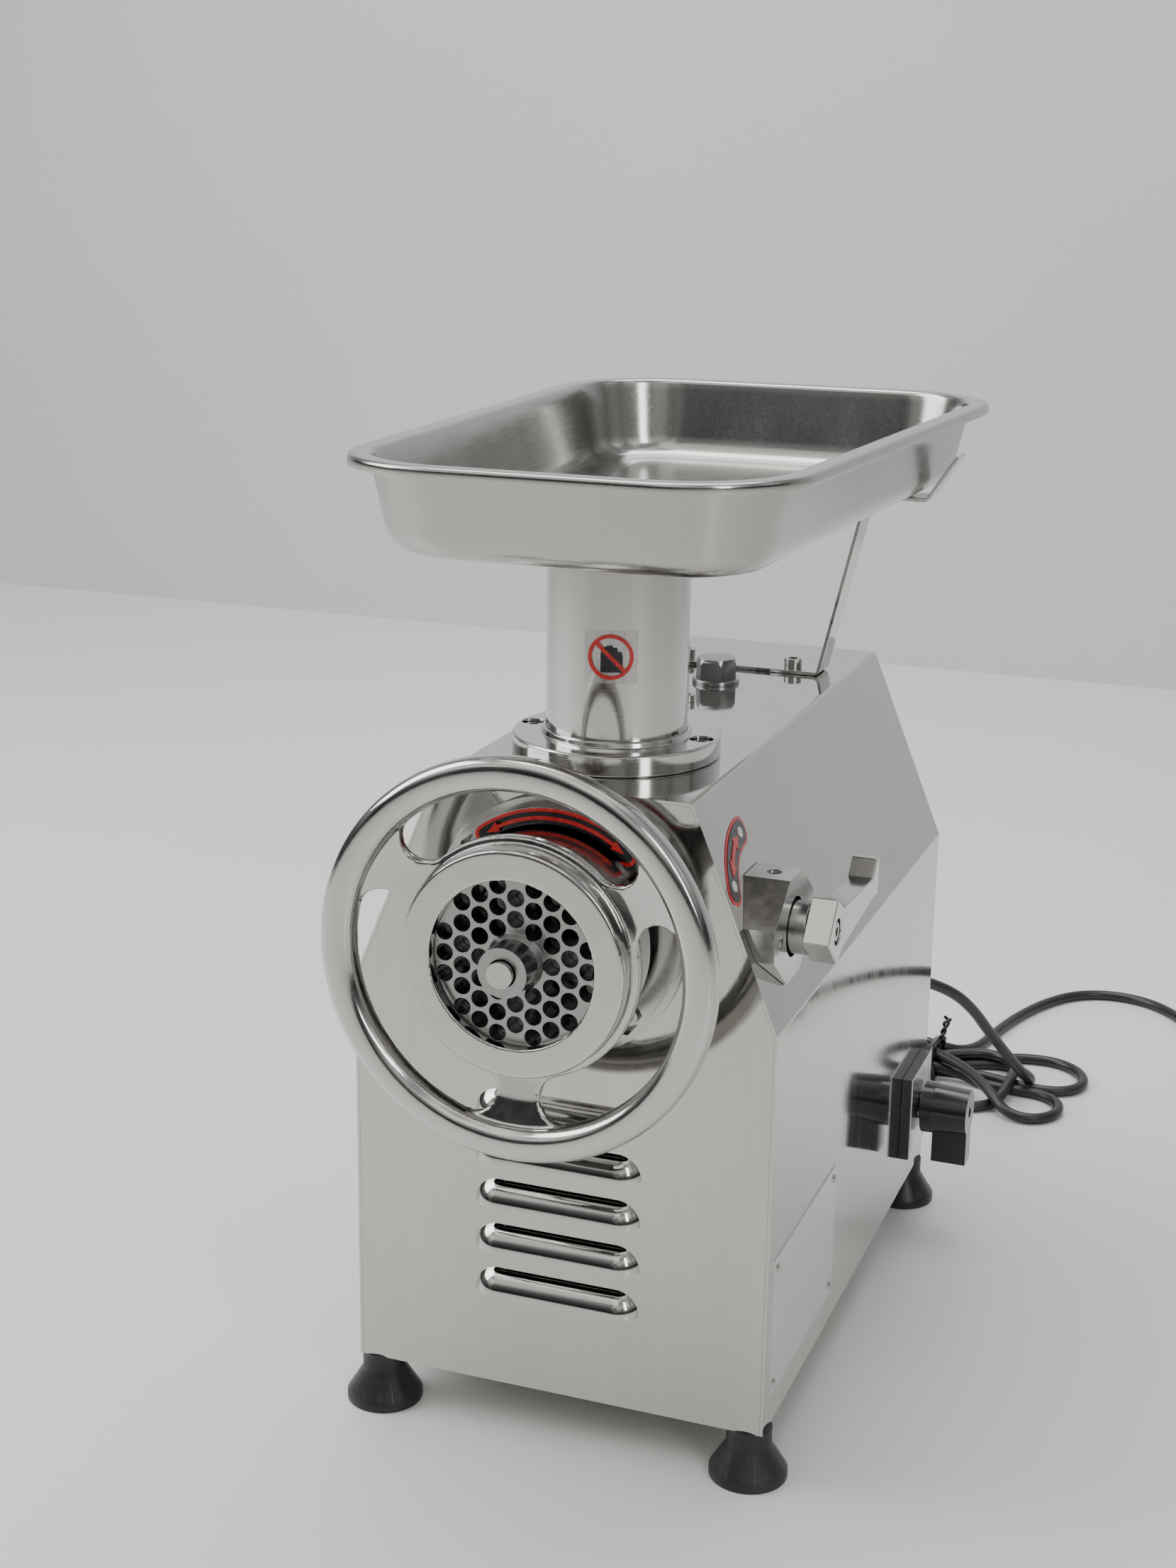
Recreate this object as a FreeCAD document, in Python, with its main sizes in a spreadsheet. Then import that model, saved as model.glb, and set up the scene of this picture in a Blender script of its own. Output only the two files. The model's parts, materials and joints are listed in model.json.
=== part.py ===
import FreeCAD
import Part
import Sketcher
import math
import os

# Electric meat grinder: stainless box body on four feet, grinding head with a handwheel
# ring nut at the front, feed tube and tray on top, geared motor inside.
# Frame: X right, Y towards the back, Z up. The origin is on the floor under the body's centre.
# All lengths are in millimetres and all angles in degrees.

doc = FreeCAD.newDocument("meat_grinder")
Vector = FreeCAD.Vector
Rotation = FreeCAD.Rotation
AXES = {"X": Vector(1, 0, 0), "Y": Vector(0, 1, 0), "Z": Vector(0, 0, 1),
        "-X": Vector(-1, 0, 0), "-Y": Vector(0, -1, 0), "-Z": Vector(0, 0, -1)}

DIMENSIONS = {
    # sheet-metal body
    "body_width": 210.0, "body_depth": 340.0, "floor_gap": 26.5, "shoulder_z": 228.5,
    "deck_z": 333.0, "deck_width": 124.0, "gauge": 1.5, "bend_radius": 3.0,
    "louver_width": 86.0, "louver_radius": 13.0, "louver_sink": 5.0, "louver_pitch": 23.4,
    "louver_first_z": 76.5, "louver_slot": 9.0,
    # feet
    "foot_x": 96.0, "foot_y": 161.0, "foot_radius": 19.0, "foot_neck_radius": 11.0,
    "foot_rim": 4.0, "foot_cone_top": 17.0, "foot_bore": 4.2,
    # grinding head, on an axis along Y
    "head_z": 268.4, "ring_front": 60.4, "ring_radius": 52.8, "ring_rear": 17.0,
    "aperture_radius": 38.6, "lip": 6.0, "ring_bore": 44.0, "wheel_radius": 93.6,
    "wheel_plane": 55.0, "rim_width": 15.0, "rim_depth": 13.0, "web": 6.0,
    "face_gap": 0.3, "window_inner": 56.5, "window_outer": 77.4,
    "window_angle": 102.0, "window_corner": 9.6,
    "barrel_radius": 43.5, "barrel_bore": 36.0, "barrel_front": 52.4, "barrel_length": 178.0,
    "plate_radius": 41.0, "plate_depth": 9.0, "plate_clear": 0.1, "plate_hole": 4.0,
    "hole_pitch": 9.8, "boss_radius": 11.5, "boss_flare": 13.5, "boss_length": 15.5,
    "boss_bore": 6.5, "pin_radius": 6.0, "pin_front": 73.0,
    "collar_radius": 62.0, "collar_flange": 4.0, "collar_raised": 58.5, "collar_step": 11.0,
    "housing_radius": 52.0, "housing_bore": 43.9, "collar_screw_circle": 52.0,
    "collar_scallop": 8.0, "key_slot_width": 9.0, "key_slot_height": 15.0,
    "auger_core": 13.0, "auger_radius": 35.2, "auger_pitch": 34.0, "flight": 5.0,
    "knife_radius": 33.0, "knife_depth": 8.0,
    # feed tube and its flange, on an axis along Z
    "neck_y": -97.5, "tube_radius": 34.0, "tube_wall": 1.6, "tube_foot_z": 314.0,
    "flange_radius": 50.0, "flange_depth": 10.4, "flange_screw_circle": 42.6,
    "socket_radius": 38.0, "throat_radius": 31.0,
    # tray
    "tray_y": -2.6, "rim_half_x": 115.5, "rim_half_y": 207.3, "rim_z": 480.0,
    "rim_corner": 60.0, "rim_flat": 10.0, "rim_drop": 5.0, "tray_floor_z": 435.0,
    "tray_taper": 0.09, "tray_draft": 11.0, "tray_corner": 48.0, "tray_fillet": 10.0, "tray_gauge": 1.2,
    "spigot_radius": 31.9, "spigot_drop": 18.0,
    # tray bracket
    "bracket_y": 105.0, "strip_width": 20.0, "strip": 2.0, "bracket_foot": 47.5,
    "bracket_top_x": 70.5, "bracket_lip_x": 103.0, "bracket_tip_x": 118.0,
    "bracket_lip_rise": 24.0, "bracket_screw_x": 31.0,
    # deck fittings
    "plug_y": 61.0, "plug_flats": 19.5, "plug_head": 11.0, "washer_radius": 12.8,
    "washer_depth": 2.6, "deck_screw_y": 12.0,
    # head clamp, on an axis along X
    "clamp_y": -131.0, "clamp_half_y": 33.0, "clamp_half_z": 25.0, "clamp_flat_y": 21.0,
    "clamp_flat_z": 15.0, "clamp_end": 100.4, "clamp_bore": 14.2, "shaft_radius": 12.5,
    "lever_start": 108.3, "lever_width": 12.7, "lever_length": 78.0,
    # rotary switch, on an axis along X
    "switch_y": 128.5, "switch_z": 75.5, "switch_plate": 49.5, "switch_base": 5.8,
    "switch_face": 0.8, "collar_start": 114.0, "knob_start": 120.5, "knob_end": 140.5,
    "knob_radius": 14.5, "pointer_length": 31.0, "pointer_width": 13.0, "spindle": 4.0,
    # nameplate
    "name_y": -105.2, "name_z": 78.5, "name_long": 113.0, "name_tall": 71.0,
    # gear train: axes along Y, one above another
    "motor_z": 129.8, "cluster_z": 193.1, "motor_radius": 60.0, "case_front": 18.0,
    "case_back": 88.0, "case_half": 66.0, "case_top_half": 56.5, "case_bend": 306.0,
    "case_floor": 72.0, "case_wall": 5.0,
    "cover": 6.0, "gear_one_width": 16.0, "gear_two_width": 22.0, "gear_play": 0.16,
    "running_fit": 0.05, "shaft_output": 12.0, "shaft_cluster": 8.0, "shaft_motor": 7.5,
    # mains cord
    "cord": 7.0, "gland_x": 70.0, "gland_z": 118.0, "gland_radius": 9.0,
}

sheet = doc.addObject("Spreadsheet::Sheet", "dims")
for row, (alias, number) in enumerate(DIMENSIONS.items(), start=1):
    sheet.set(f"A{row}", alias)
    sheet.set(f"B{row}", str(number))
    sheet.setAlias(f"B{row}", alias)
doc.recompute()


class Sizes:
    """Reads a driving dimension from the sheet by its alias."""

    def __getattr__(self, alias):
        return float(sheet.get(alias))


D = Sizes()
parts = {}


# ---------------------------------------------------------------- building blocks

def amount(expression):
    """The number that a sheet expression gives."""
    result = sheet.evalExpression(str(expression))
    return float(getattr(result, "Value", result))


def bind(obj, **sizes):
    for name, expression in sizes.items():
        obj.setExpression(name, str(expression))
    return obj


def put(obj, at=(0, 0, 0), along="Z", spin=0.0):
    """Moves obj so that its own Z runs along an axis, turned by spin about itself."""
    turn = Rotation(AXES["Z"], AXES[along]) * Rotation(AXES["Z"], spin)
    obj.Placement = FreeCAD.Placement(Vector(*at), turn)
    return obj


def cylinder(radius, height, at=(0, 0, 0), along="Z"):
    return put(bind(doc.addObject("Part::Cylinder", "cyl"), Radius=radius, Height=height), at, along)


def cone(low, high, height, at=(0, 0, 0), along="Z"):
    made = bind(doc.addObject("Part::Cone", "cone"), Radius1=low, Radius2=high, Height=height)
    return put(made, at, along)


def sphere(radius, at):
    return put(bind(doc.addObject("Part::Sphere", "ball"), Radius=radius), at)


def hexagon(flats, height, at=(0, 0, 0), along="Z"):
    made = doc.addObject("Part::Prism", "hex")
    made.Polygon = 6
    bind(made, Circumradius=f"({flats}) / sqrt(3)", Height=height)
    return put(made, at, along)


def box(length, width, height, centre_low=(0, 0, 0), turn=None):
    """A block centred in X and Y on centre_low, standing on it in Z."""
    made = bind(doc.addObject("Part::Box", "box"), Length=length, Width=width, Height=height)
    turn = turn or Rotation()
    shift = turn.multVec(Vector(-amount(length) / 2, -amount(width) / 2, 0))
    made.Placement = FreeCAD.Placement(Vector(*centre_low) + shift, turn)
    return made


def fuse(shapes):
    made = doc.addObject("Part::MultiFuse", "union")
    made.Shapes = shapes
    return made


def group(shapes):
    made = doc.addObject("Part::Compound", "group")
    made.Links = shapes
    return made


def cut(base, tools):
    made = doc.addObject("Part::Cut", "cut")
    made.Base = base
    made.Tool = tools[0] if len(tools) == 1 else group(tools)
    return made


def common(first, second):
    made = doc.addObject("Part::Common", "common")
    made.Base = first
    made.Tool = second
    return made


def fillet(base, radius, wanted):
    """Rounds the edges of base for which wanted(edge) is true."""
    doc.recompute()
    made = doc.addObject("Part::Fillet", "rounded")
    made.Base = base
    edges = enumerate(base.Shape.Edges, start=1)
    made.Edges = [(index, radius, radius) for index, edge in edges if wanted(edge)]
    return made


def runs_along(direction):
    """A test for straight edges parallel to direction."""
    def wanted(edge):
        if edge.Curve.TypeId != "Part::GeomLine":
            return False
        ends = edge.Vertexes
        return (ends[1].Point - ends[0].Point).normalize().cross(direction).Length < 1e-6
    return wanted


def origin_plane(body, role):
    return next(item for item in body.Origin.OriginFeatures if item.Role == role)


def polygon_sketch(body, role, corners):
    """A closed polygon whose corners are tied to the sheet, on an origin plane of body."""
    sketch = body.newObject("Sketcher::SketchObject", "profile")
    sketch.AttachmentSupport = [(origin_plane(body, role), "")]
    sketch.MapMode = "FlatFace"
    points = [Vector(amount(x), amount(y), 0) for x, y in corners]
    for index, point in enumerate(points):
        following = points[(index + 1) % len(points)]
        sketch.addGeometry(Part.LineSegment(point, following), False)
    for index in range(len(points)):
        following = (index + 1) % len(points)
        sketch.addConstraint(Sketcher.Constraint("Coincident", index, 2, following, 1))
    for index, corner in enumerate(corners):
        for kind, expression, axis_line in (("DistanceX", corner[0], -2), ("DistanceY", corner[1], -1)):
            size = amount(expression)
            if abs(size) < 1e-9:
                sketch.addConstraint(Sketcher.Constraint("PointOnObject", index, 1, axis_line))
            else:
                rule = sketch.addConstraint(Sketcher.Constraint(kind, -1, 1, index, 1, size))
                sketch.setExpression(f"Constraints[{rule}]", str(expression))
    return sketch


def padded(role, corners, length, midplane=False, at=(0, 0, 0)):
    """A PartDesign pad of a polygon drawn on an origin plane."""
    body = doc.addObject("PartDesign::Body", "body")
    sketch = polygon_sketch(body, role, corners)
    pad = body.newObject("PartDesign::Pad", "pad")
    pad.Profile = sketch
    pad.Midplane = midplane
    bind(pad, Length=length)
    body.Placement = FreeCAD.Placement(Vector(*at), Rotation())
    return body


def turned(profile, at=(0, 0, 0), along="Z"):
    """A PartDesign revolution of (radius, height) corners about its own Z."""
    body = doc.addObject("PartDesign::Body", "body")
    sketch = polygon_sketch(body, "XZ_Plane", profile)
    spin = body.newObject("PartDesign::Revolution", "turn")
    spin.Profile = sketch
    spin.ReferenceAxis = (sketch, ["V_Axis"])
    spin.Angle = 360.0
    return put(body, at, along)


def shaped(shape, at=(0, 0, 0), along="Z"):
    made = doc.addObject("Part::Feature", "shape")
    made.Shape = shape
    return put(made, at, along)


def node(name, obj):
    """Names a finished piece, which is written to its own file."""
    obj.Label = name
    parts[name] = obj
    return obj


def socket_screw(at, along, head, shank, length, tall=None):
    """A cap screw seated at its head's underside; along points from head to tip."""
    back = {"X": "-X", "Y": "-Y", "Z": "-Z", "-X": "X", "-Y": "Y", "-Z": "Z"}[along]
    tall = tall or head
    made = fuse([cylinder(head, tall, at, back), cylinder(shank, length, at, along)])
    start = Vector(*at) + AXES[back] * tall * 0.45
    return cut(made, [hexagon(head, tall, tuple(start), back)])


# ---------------------------------------------------------------- sheet-metal body

FRONT = -D.body_depth / 2
BACK = D.body_depth / 2
SIDE = D.body_width / 2


def section(inset):
    """The body's six-cornered section, moved in by a thickness."""
    slope = "(dims.body_width - dims.deck_width) / 2 / (dims.deck_z - dims.shoulder_z)"
    low = f"dims.body_width / 2 - ({inset})"
    shoulder = f"dims.shoulder_z - ({inset}) * 0.2"
    deck = f"dims.deck_z - ({inset})"
    top = f"dims.deck_width / 2 - ({inset}) * (sqrt(1 + ({slope}) * ({slope})) - {slope})"
    base = "dims.floor_gap"
    return [(f"-({low})", base), (low, base), (low, shoulder), (top, deck),
            (f"-({top})", deck), (f"-({low})", shoulder)]


def head_point(forward):
    """A point on the head's axis, forward of the front panel's face."""
    return (0, FRONT - forward, D.head_z)


def octagon(grow):
    """The clamp block's section, in Y and Z about its axis."""
    wide = f"dims.clamp_half_y + {grow}"
    tall = f"dims.clamp_half_z + {grow}"
    flat_y = f"dims.clamp_flat_y / 2 + {grow} * 0.4"
    flat_z = f"dims.clamp_flat_z / 2 + {grow} * 0.4"
    return [(f"-({flat_y})", tall), (f"-({wide})", flat_z), (f"-({wide})", f"-({flat_z})"),
            (f"-({flat_y})", f"-({tall})"), (flat_y, f"-({tall})"), (wide, f"-({flat_z})"),
            (wide, flat_z), (flat_y, tall)]


def body_shell():
    blank = padded("XZ_Plane", section("0"), "dims.body_depth", midplane=True)
    rounded = fillet(blank, D.bend_radius, lambda e: runs_along(AXES["Y"])(e)
                     and e.CenterOfMass.z > D.floor_gap + 1)
    inside = padded("XZ_Plane", section("dims.gauge"), "dims.body_depth + 2", midplane=True)
    deck = D.deck_z - 10
    tools = [inside,
             cylinder("dims.tube_radius + 0.4", 20, (0, D.neck_y, deck)),
             cylinder(9.2, 20, (0, D.plug_y, deck)),
             cylinder(2.2, 20, (0, D.deck_screw_y, deck)),
             cylinder(12, 20, (SIDE - 10, D.switch_y, D.switch_z), "X"),
             padded("YZ_Plane", octagon("0.3"), 60, at=(60, D.clamp_y, D.head_z))]
    for side in (-1, 1):
        tools.append(cylinder(2.6, 20, (side * D.bracket_screw_x, D.bracket_y, deck)))
        tools.append(cylinder(2.6, 20, (side * D.flange_screw_circle, D.neck_y, deck)))
        for tall in (-1, 1):
            at = (SIDE - 10, D.name_y + side * 51.5, D.name_z + tall * 30)
            tools.append(cylinder(1.5, 20, at, "X"))
    node("body_shell", cut(rounded, tools))


def louver_hood(z, radius):
    """A hood's solid: a round-ended bar half sunk in the panel, open along its lower edge."""
    reach = D.louver_width / 2 - D.louver_radius
    y = FRONT + D.louver_sink
    bar = cylinder(radius, "dims.louver_width - 2 * dims.louver_radius", (-reach, y, z), "X")
    ends = [sphere(radius, (side * reach, y, z)) for side in (-1, 1)]
    keep = box("dims.louver_width + 20", 20, 20, (0, FRONT - 9.99, z))
    return common(fuse([bar] + ends), keep)


def front_panel():
    plate = padded("XZ_Plane", section("dims.gauge + 0.1"), "dims.gauge")
    put(plate, (0, FRONT + D.gauge, 0))
    solids = [plate]
    tools = [cylinder("dims.housing_radius + 0.4", 20, (0, FRONT - 10, D.head_z), "Y")]
    for index in range(5):
        z = D.louver_first_z + index * D.louver_pitch
        solids.append(louver_hood(z, "dims.louver_radius"))
        tools.append(louver_hood(z - 0.01, "dims.louver_radius - 1.2"))
        slot = box("dims.louver_width - 16", 10, "dims.louver_slot", (0, FRONT + 3, z))
        tools.append(slot)
    for corner in (45, 135, 225, 315):
        spot = collar_spot(corner)
        tools.append(cylinder(2.6, 10, (spot[0], FRONT - 2, spot[1]), "Y"))
    node("front_panel", cut(fuse(solids), tools))


def rear_panel():
    plate = padded("XZ_Plane", section("dims.gauge + 0.1"), "dims.gauge")
    put(plate, (0, BACK, 0))
    tools = [cylinder("dims.gland_radius + 0.3", 20, (D.gland_x, BACK - 10, D.gland_z), "Y")]
    for index in range(6):
        tools.append(box(70, 10, 4, (0, BACK, 180 + index * 12)))
    node("rear_panel", cut(plate, tools))


def bottom_plate():
    inner = "dims.body_width - 2 * dims.gauge - 0.4"
    deep = "dims.body_depth - 2 * dims.gauge - 0.4"
    sheet_metal = box(inner, deep, "dims.gauge", (0, 0, D.floor_gap))
    tools = [box(60, 5, 10, (0, y, D.floor_gap - 4)) for y in (-60, -40, -20, 0, 20, 40)]
    for x in (-D.foot_x, D.foot_x):
        for y in (-D.foot_y, D.foot_y):
            tools.append(cylinder("dims.foot_bore", 10, (x, y, D.floor_gap - 4)))
    node("bottom_plate", cut(sheet_metal, tools))


def feet():
    profile = [("dims.foot_bore", 0), ("dims.foot_radius", 0), ("dims.foot_radius", "dims.foot_rim"),
               ("dims.foot_neck_radius", "dims.foot_cone_top"), ("dims.foot_neck_radius", "dims.floor_gap"),
               ("dims.foot_bore", "dims.floor_gap")]
    screws = []
    for fore, y in (("front", -D.foot_y), ("rear", D.foot_y)):
        for side, x in (("left", -D.foot_x), ("right", D.foot_x)):
            foot = turned(profile, (x, y, 0))
            node(f"foot_{fore}_{side}", cut(foot, [cylinder(9, 6, (x, y, -1))]))
            screws.append(socket_screw((x, y, 5.0), "Z", 7.0, 3.9, 30, tall=3.5))
    node("foot_screws", group(screws))


def nameplate():
    plate = box("dims.name_long", "dims.name_tall", 0.8, (SIDE, D.name_y, D.name_z), across())
    rivets = []
    holes = []
    for side in (-1, 1):
        for tall in (-1, 1):
            y = D.name_y + side * 51.5
            z = D.name_z + tall * 30
            holes.append(cylinder(1.5, 10, (SIDE - 4, y, z), "X"))
            ball = sphere(3.4, (SIDE + 0.8 - 2.2, y, z))
            dome = common(ball, box(8, 8, 4, (SIDE + 0.8, y, z), across()))
            rivets.append(fuse([dome, cylinder(1.4, 4.8, (SIDE - 4, y, z), "X")]))
    node("nameplate", cut(plate, holes))
    node("nameplate_rivets", group(rivets))


def across():
    """Stands a block's own Z along X, with its length along Y."""
    return Rotation(Vector(0, 1, 0), Vector(0, 0, 1), Vector(1, 0, 0), "ZXY")


# ---------------------------------------------------------------- grinding head

def collar_spot(angle):
    """X and Z of a collar screw."""
    turn = math.radians(angle)
    reach = D.collar_screw_circle
    return (reach * math.cos(turn), D.head_z + reach * math.sin(turn))


def head_housing():
    profile = [("dims.housing_bore", "dims.collar_step"), ("dims.collar_raised", "dims.collar_step"),
               ("dims.collar_raised", "dims.collar_flange"), ("dims.collar_radius", "dims.collar_flange"),
               ("dims.collar_radius", 0), ("dims.housing_radius", 0), ("dims.housing_radius", -188),
               ("dims.housing_bore", -188)]
    tube = turned(profile, head_point(0), "-Y")
    neck = cylinder("dims.socket_radius", "dims.deck_z - dims.gauge - dims.head_z",
                    (0, D.neck_y, D.head_z))
    ledge = cylinder("dims.flange_radius", 10, (0, D.neck_y, D.deck_z - D.gauge - 10))
    inside = cylinder("dims.housing_bore", 190, head_point(15), "Y")
    tools = [cylinder("dims.throat_radius + 0.5", 80, (0, D.neck_y, D.head_z)),
             cylinder("dims.tube_radius + 0.1", 40, (0, D.neck_y, D.tube_foot_z)),
             cylinder("dims.shaft_radius + 0.05", 30, (35, D.clamp_y, D.head_z), "X"),
             box("dims.key_slot_width", 8, "dims.key_slot_height", (46.5, FRONT - 10, D.head_z - 3))]
    for corner in (45, 135, 225, 315):
        x, z = collar_spot(corner)
        tools.append(cylinder("dims.collar_scallop", 20, (x, FRONT - 4, z), "-Y"))
        tools.append(cylinder(2.6, 20, (x, FRONT - 10, z), "Y"))
    for side in (-1, 1):
        tools.append(cylinder(2.5, 20, (side * D.flange_screw_circle, D.neck_y, D.deck_z - 15)))
    node("head_housing", cut(fuse([tube, ledge, cut(neck, [inside])]), tools))
    screws = []
    for corner in (45, 135, 225, 315):
        x, z = collar_spot(corner)
        screws.append(socket_screw((x, FRONT - 4, z), "Y", 4.6, 2.5, 12))
    node("collar_screws", group(screws))


def barrel():
    front = D.barrel_front
    tube = turned([("dims.barrel_bore", 0), ("dims.barrel_radius", 0),
                   ("dims.barrel_radius", "dims.barrel_length"),
                   ("dims.barrel_bore", "dims.barrel_length")], head_point(front), "Y")
    proud = "(dims.ring_front - dims.lip - dims.barrel_front)"
    seat = cylinder("dims.plate_radius + dims.plate_clear",
                    f"dims.plate_depth - {proud} + 2 * dims.face_gap", head_point(front), "Y")
    knife_room = cylinder(38, 10, head_point(front - 7), "Y")
    mouth = cylinder("dims.throat_radius + 0.5", 60, (0, D.neck_y, D.head_z))
    node("barrel", cut(tube, [seat, knife_room, mouth]))


def plate_centres():
    """Hole centres on a six-sided lattice, in the ring that is left round the boss."""
    centres = []
    span = range(-5, 6)
    for i in span:
        for j in span:
            x = D.hole_pitch * math.sqrt(3) / 2 * i
            z = D.hole_pitch * (j + i / 2)
            if 1.6 < math.hypot(x, z) / D.hole_pitch < 3.7:
                centres.append((x, z))
    return centres


def cutting_plate():
    back = D.ring_front - D.lip - D.plate_depth - D.face_gap
    profile = [("dims.boss_bore", 0), ("dims.plate_radius", 0), ("dims.plate_radius", "dims.plate_depth"),
               ("dims.boss_flare", "dims.plate_depth"), ("dims.boss_radius", "dims.plate_depth + 3"),
               ("dims.boss_radius", "dims.plate_depth + dims.boss_length"),
               ("dims.boss_bore", "dims.plate_depth + dims.boss_length")]
    disc = turned(profile, head_point(back), "-Y")
    holes = [cylinder("dims.plate_hole", 20, (x, FRONT - back - 15, D.head_z + z), "Y")
             for x, z in plate_centres()]
    node("cutting_plate", cut(disc, holes))


def knife():
    back = D.ring_front - D.lip - D.plate_depth - D.knife_depth - 2 * D.face_gap
    y = FRONT - back
    hub = cylinder(12, "dims.knife_depth", (0, y, D.head_z), "-Y")
    arm_width = 11
    arms = []
    for angle in (0, 90):
        turn = Rotation(AXES["Y"], angle)
        arm = box("2 * dims.knife_radius", "dims.knife_depth", arm_width,
                  (0, y - D.knife_depth / 2, D.head_z), turn)
        lift = turn.multVec(Vector(0, 0, -arm_width / 2))
        arm.Placement.Base = arm.Placement.Base + lift
        arms.append(arm)
    blade = fuse([hub] + arms)
    round_end = cylinder("dims.knife_radius", 40, (0, y + 10, D.head_z), "-Y")
    square = box(12.1, 40, 12.1, (0, y, D.head_z - 6.05))
    node("knife", cut(common(blade, round_end), [square]))


def auger():
    """A core with one helical flight, a square for the knife and a pin for the plate."""
    knife_back = D.ring_front - D.lip - D.plate_depth - D.knife_depth - 2 * D.face_gap
    length = 146.0
    front = FRONT - knife_back + 0.5
    core = cylinder("dims.auger_core", length, (0, front, D.head_z), "Y")
    square = box(12, "dims.knife_depth + 0.5", 12, (0, front - D.knife_depth / 2 - 0.25, D.head_z - 6))
    pin_length = D.pin_front - knife_back - D.knife_depth - 0.5
    pin = cylinder("dims.pin_radius", pin_length + 1, (0, FRONT - D.pin_front, D.head_z), "Y")
    turns = Part.makeHelix(D.auger_pitch, length - 16, D.auger_radius - 1)
    inner = D.auger_core - 1.5
    half = D.flight / 2
    ring = Part.makePolygon([Vector(inner, 0, -half - 1), Vector(D.auger_radius, 0, -half),
                             Vector(D.auger_radius, 0, half), Vector(inner, 0, half + 1),
                             Vector(inner, 0, -half - 1)])
    blade = Part.Wire(turns.Edges).makePipeShell([ring], True, True)
    flight = shaped(Part.Solid(blade) if blade.ShapeType == "Shell" else blade)
    put(flight, (0, front + 6, D.head_z), "Y")
    tail = cylinder(20, 8, (0, front + length, D.head_z), "Y")
    socket = box(14.1, 20, 14.1, (0, front + length + 3, D.head_z - 7.05))
    node("auger", cut(fuse([core, square, pin, flight, tail]), [socket]))


def ring_nut():
    """The ring nut and its handwheel, one casting, turned about the head's axis."""
    plane = "dims.wheel_plane"
    inner_rim = "dims.wheel_radius - dims.rim_width"
    deep = "dims.rim_depth / 2"
    profile = [
        ("dims.aperture_radius", "dims.ring_front"), ("dims.ring_radius", "dims.ring_front"),
        ("dims.ring_radius", "dims.ring_front - 9"),
        (inner_rim, f"{plane} - 1"), (f"{inner_rim} + 3", f"{plane} + {deep}"),
        ("dims.wheel_radius - 4", f"{plane} + {deep}"), ("dims.wheel_radius", f"{plane} + 2"),
        ("dims.wheel_radius", f"{plane} - 2"), ("dims.wheel_radius - 4", f"{plane} - {deep}"),
        (inner_rim, f"{plane} - {deep} - 1"), (inner_rim, f"{plane} - 1 - dims.web"),
        ("dims.ring_radius - 1", "dims.ring_front - 11 - dims.web"),
        ("dims.ring_radius - 3", "dims.ring_rear"), ("dims.ring_bore", "dims.ring_rear"),
        ("dims.ring_bore", "dims.ring_front - dims.lip"),
        ("dims.aperture_radius", "dims.ring_front - dims.lip")]
    casting = turned(profile, head_point(0), "-Y")
    windows = []
    for middle in (90, 210, 330):
        wedge = bind(doc.addObject("Part::Cylinder", "wedge"), Radius="dims.window_outer",
                     Height=40, Angle="dims.window_angle")
        turn = Rotation(AXES["Z"], AXES["-Y"]) * Rotation(AXES["Z"], middle - D.window_angle / 2)
        wedge.Placement = FreeCAD.Placement(Vector(*head_point(30)), turn)
        band = cut(wedge, [cylinder("dims.window_inner", 60, head_point(20), "-Y")])
        windows.append(fillet(band, D.window_corner, runs_along(AXES["Y"])))
    node("ring_nut", cut(casting, windows))


# ---------------------------------------------------------------- feed tube, flange and tray

def feed_neck():
    at = (0, D.neck_y, D.tube_foot_z)
    tall = "dims.tray_floor_z - dims.tube_foot_z - dims.face_gap"
    tube = turned([("dims.tube_radius - dims.tube_wall", 0), ("dims.tube_radius", 0),
                   ("dims.tube_radius", tall), ("dims.tube_radius - dims.tube_wall", tall)], at)
    node("feed_tube", tube)
    top = "dims.flange_depth"
    disc = turned([("dims.tube_radius + 0.1", 0), ("dims.flange_radius - 0.8", 0),
                   ("dims.flange_radius", 0.8), ("dims.flange_radius", f"{top} - 0.8"),
                   ("dims.flange_radius - 0.8", top), ("dims.tube_radius + 2.2", top),
                   ("dims.tube_radius + 1.4", f"{top} + 2.4"), ("dims.tube_radius + 0.1", f"{top} + 2.8")],
                  (0, D.neck_y, D.deck_z))
    holes = []
    screws = []
    face = D.deck_z + D.flange_depth
    for side in (-1, 1):
        x = side * D.flange_screw_circle
        holes.append(cylinder(5.6, 8, (x, D.neck_y, face - 6)))
        holes.append(cylinder(2.6, 20, (x, D.neck_y, D.deck_z - 5)))
        screws.append(socket_screw((x, D.neck_y, face - 6), "-Z", 4.6, 2.5, 14))
    node("neck_flange", cut(disc, holes))
    node("flange_screws", group(screws))


def plan(inset, z):
    """Corners of the tray's outline moved in by a distance; its sides stay parallel to the rim's."""
    reach = D.rim_half_y - inset
    corners = []
    for side, end in ((-1, -1), (1, -1), (1, 1), (-1, 1)):
        half = D.rim_half_x * (1 + D.tray_taper * end * reach / D.rim_half_y) - inset
        corners.append(Vector(side * half, D.tray_y + end * reach, z))
    return corners


def plan_block(low_inset, high_inset, low, high, corner):
    """A flat-sided solid between two outlines of the tray, its upright edges rounded."""
    below = plan(low_inset, low)
    above = plan(high_inset, high)
    sides = [[below[i - 1], below[i], above[i], above[i - 1]] for i in range(4)]
    outlines = [below[::-1], above] + sides
    faces = [Part.Face(Part.makePolygon(outline + outline[:1])) for outline in outlines]
    blank = shaped(Part.Solid(Part.Shell(faces)))
    return fillet(blank, corner, lambda e: e.BoundBox.ZLength > high - low - 0.01)


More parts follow.
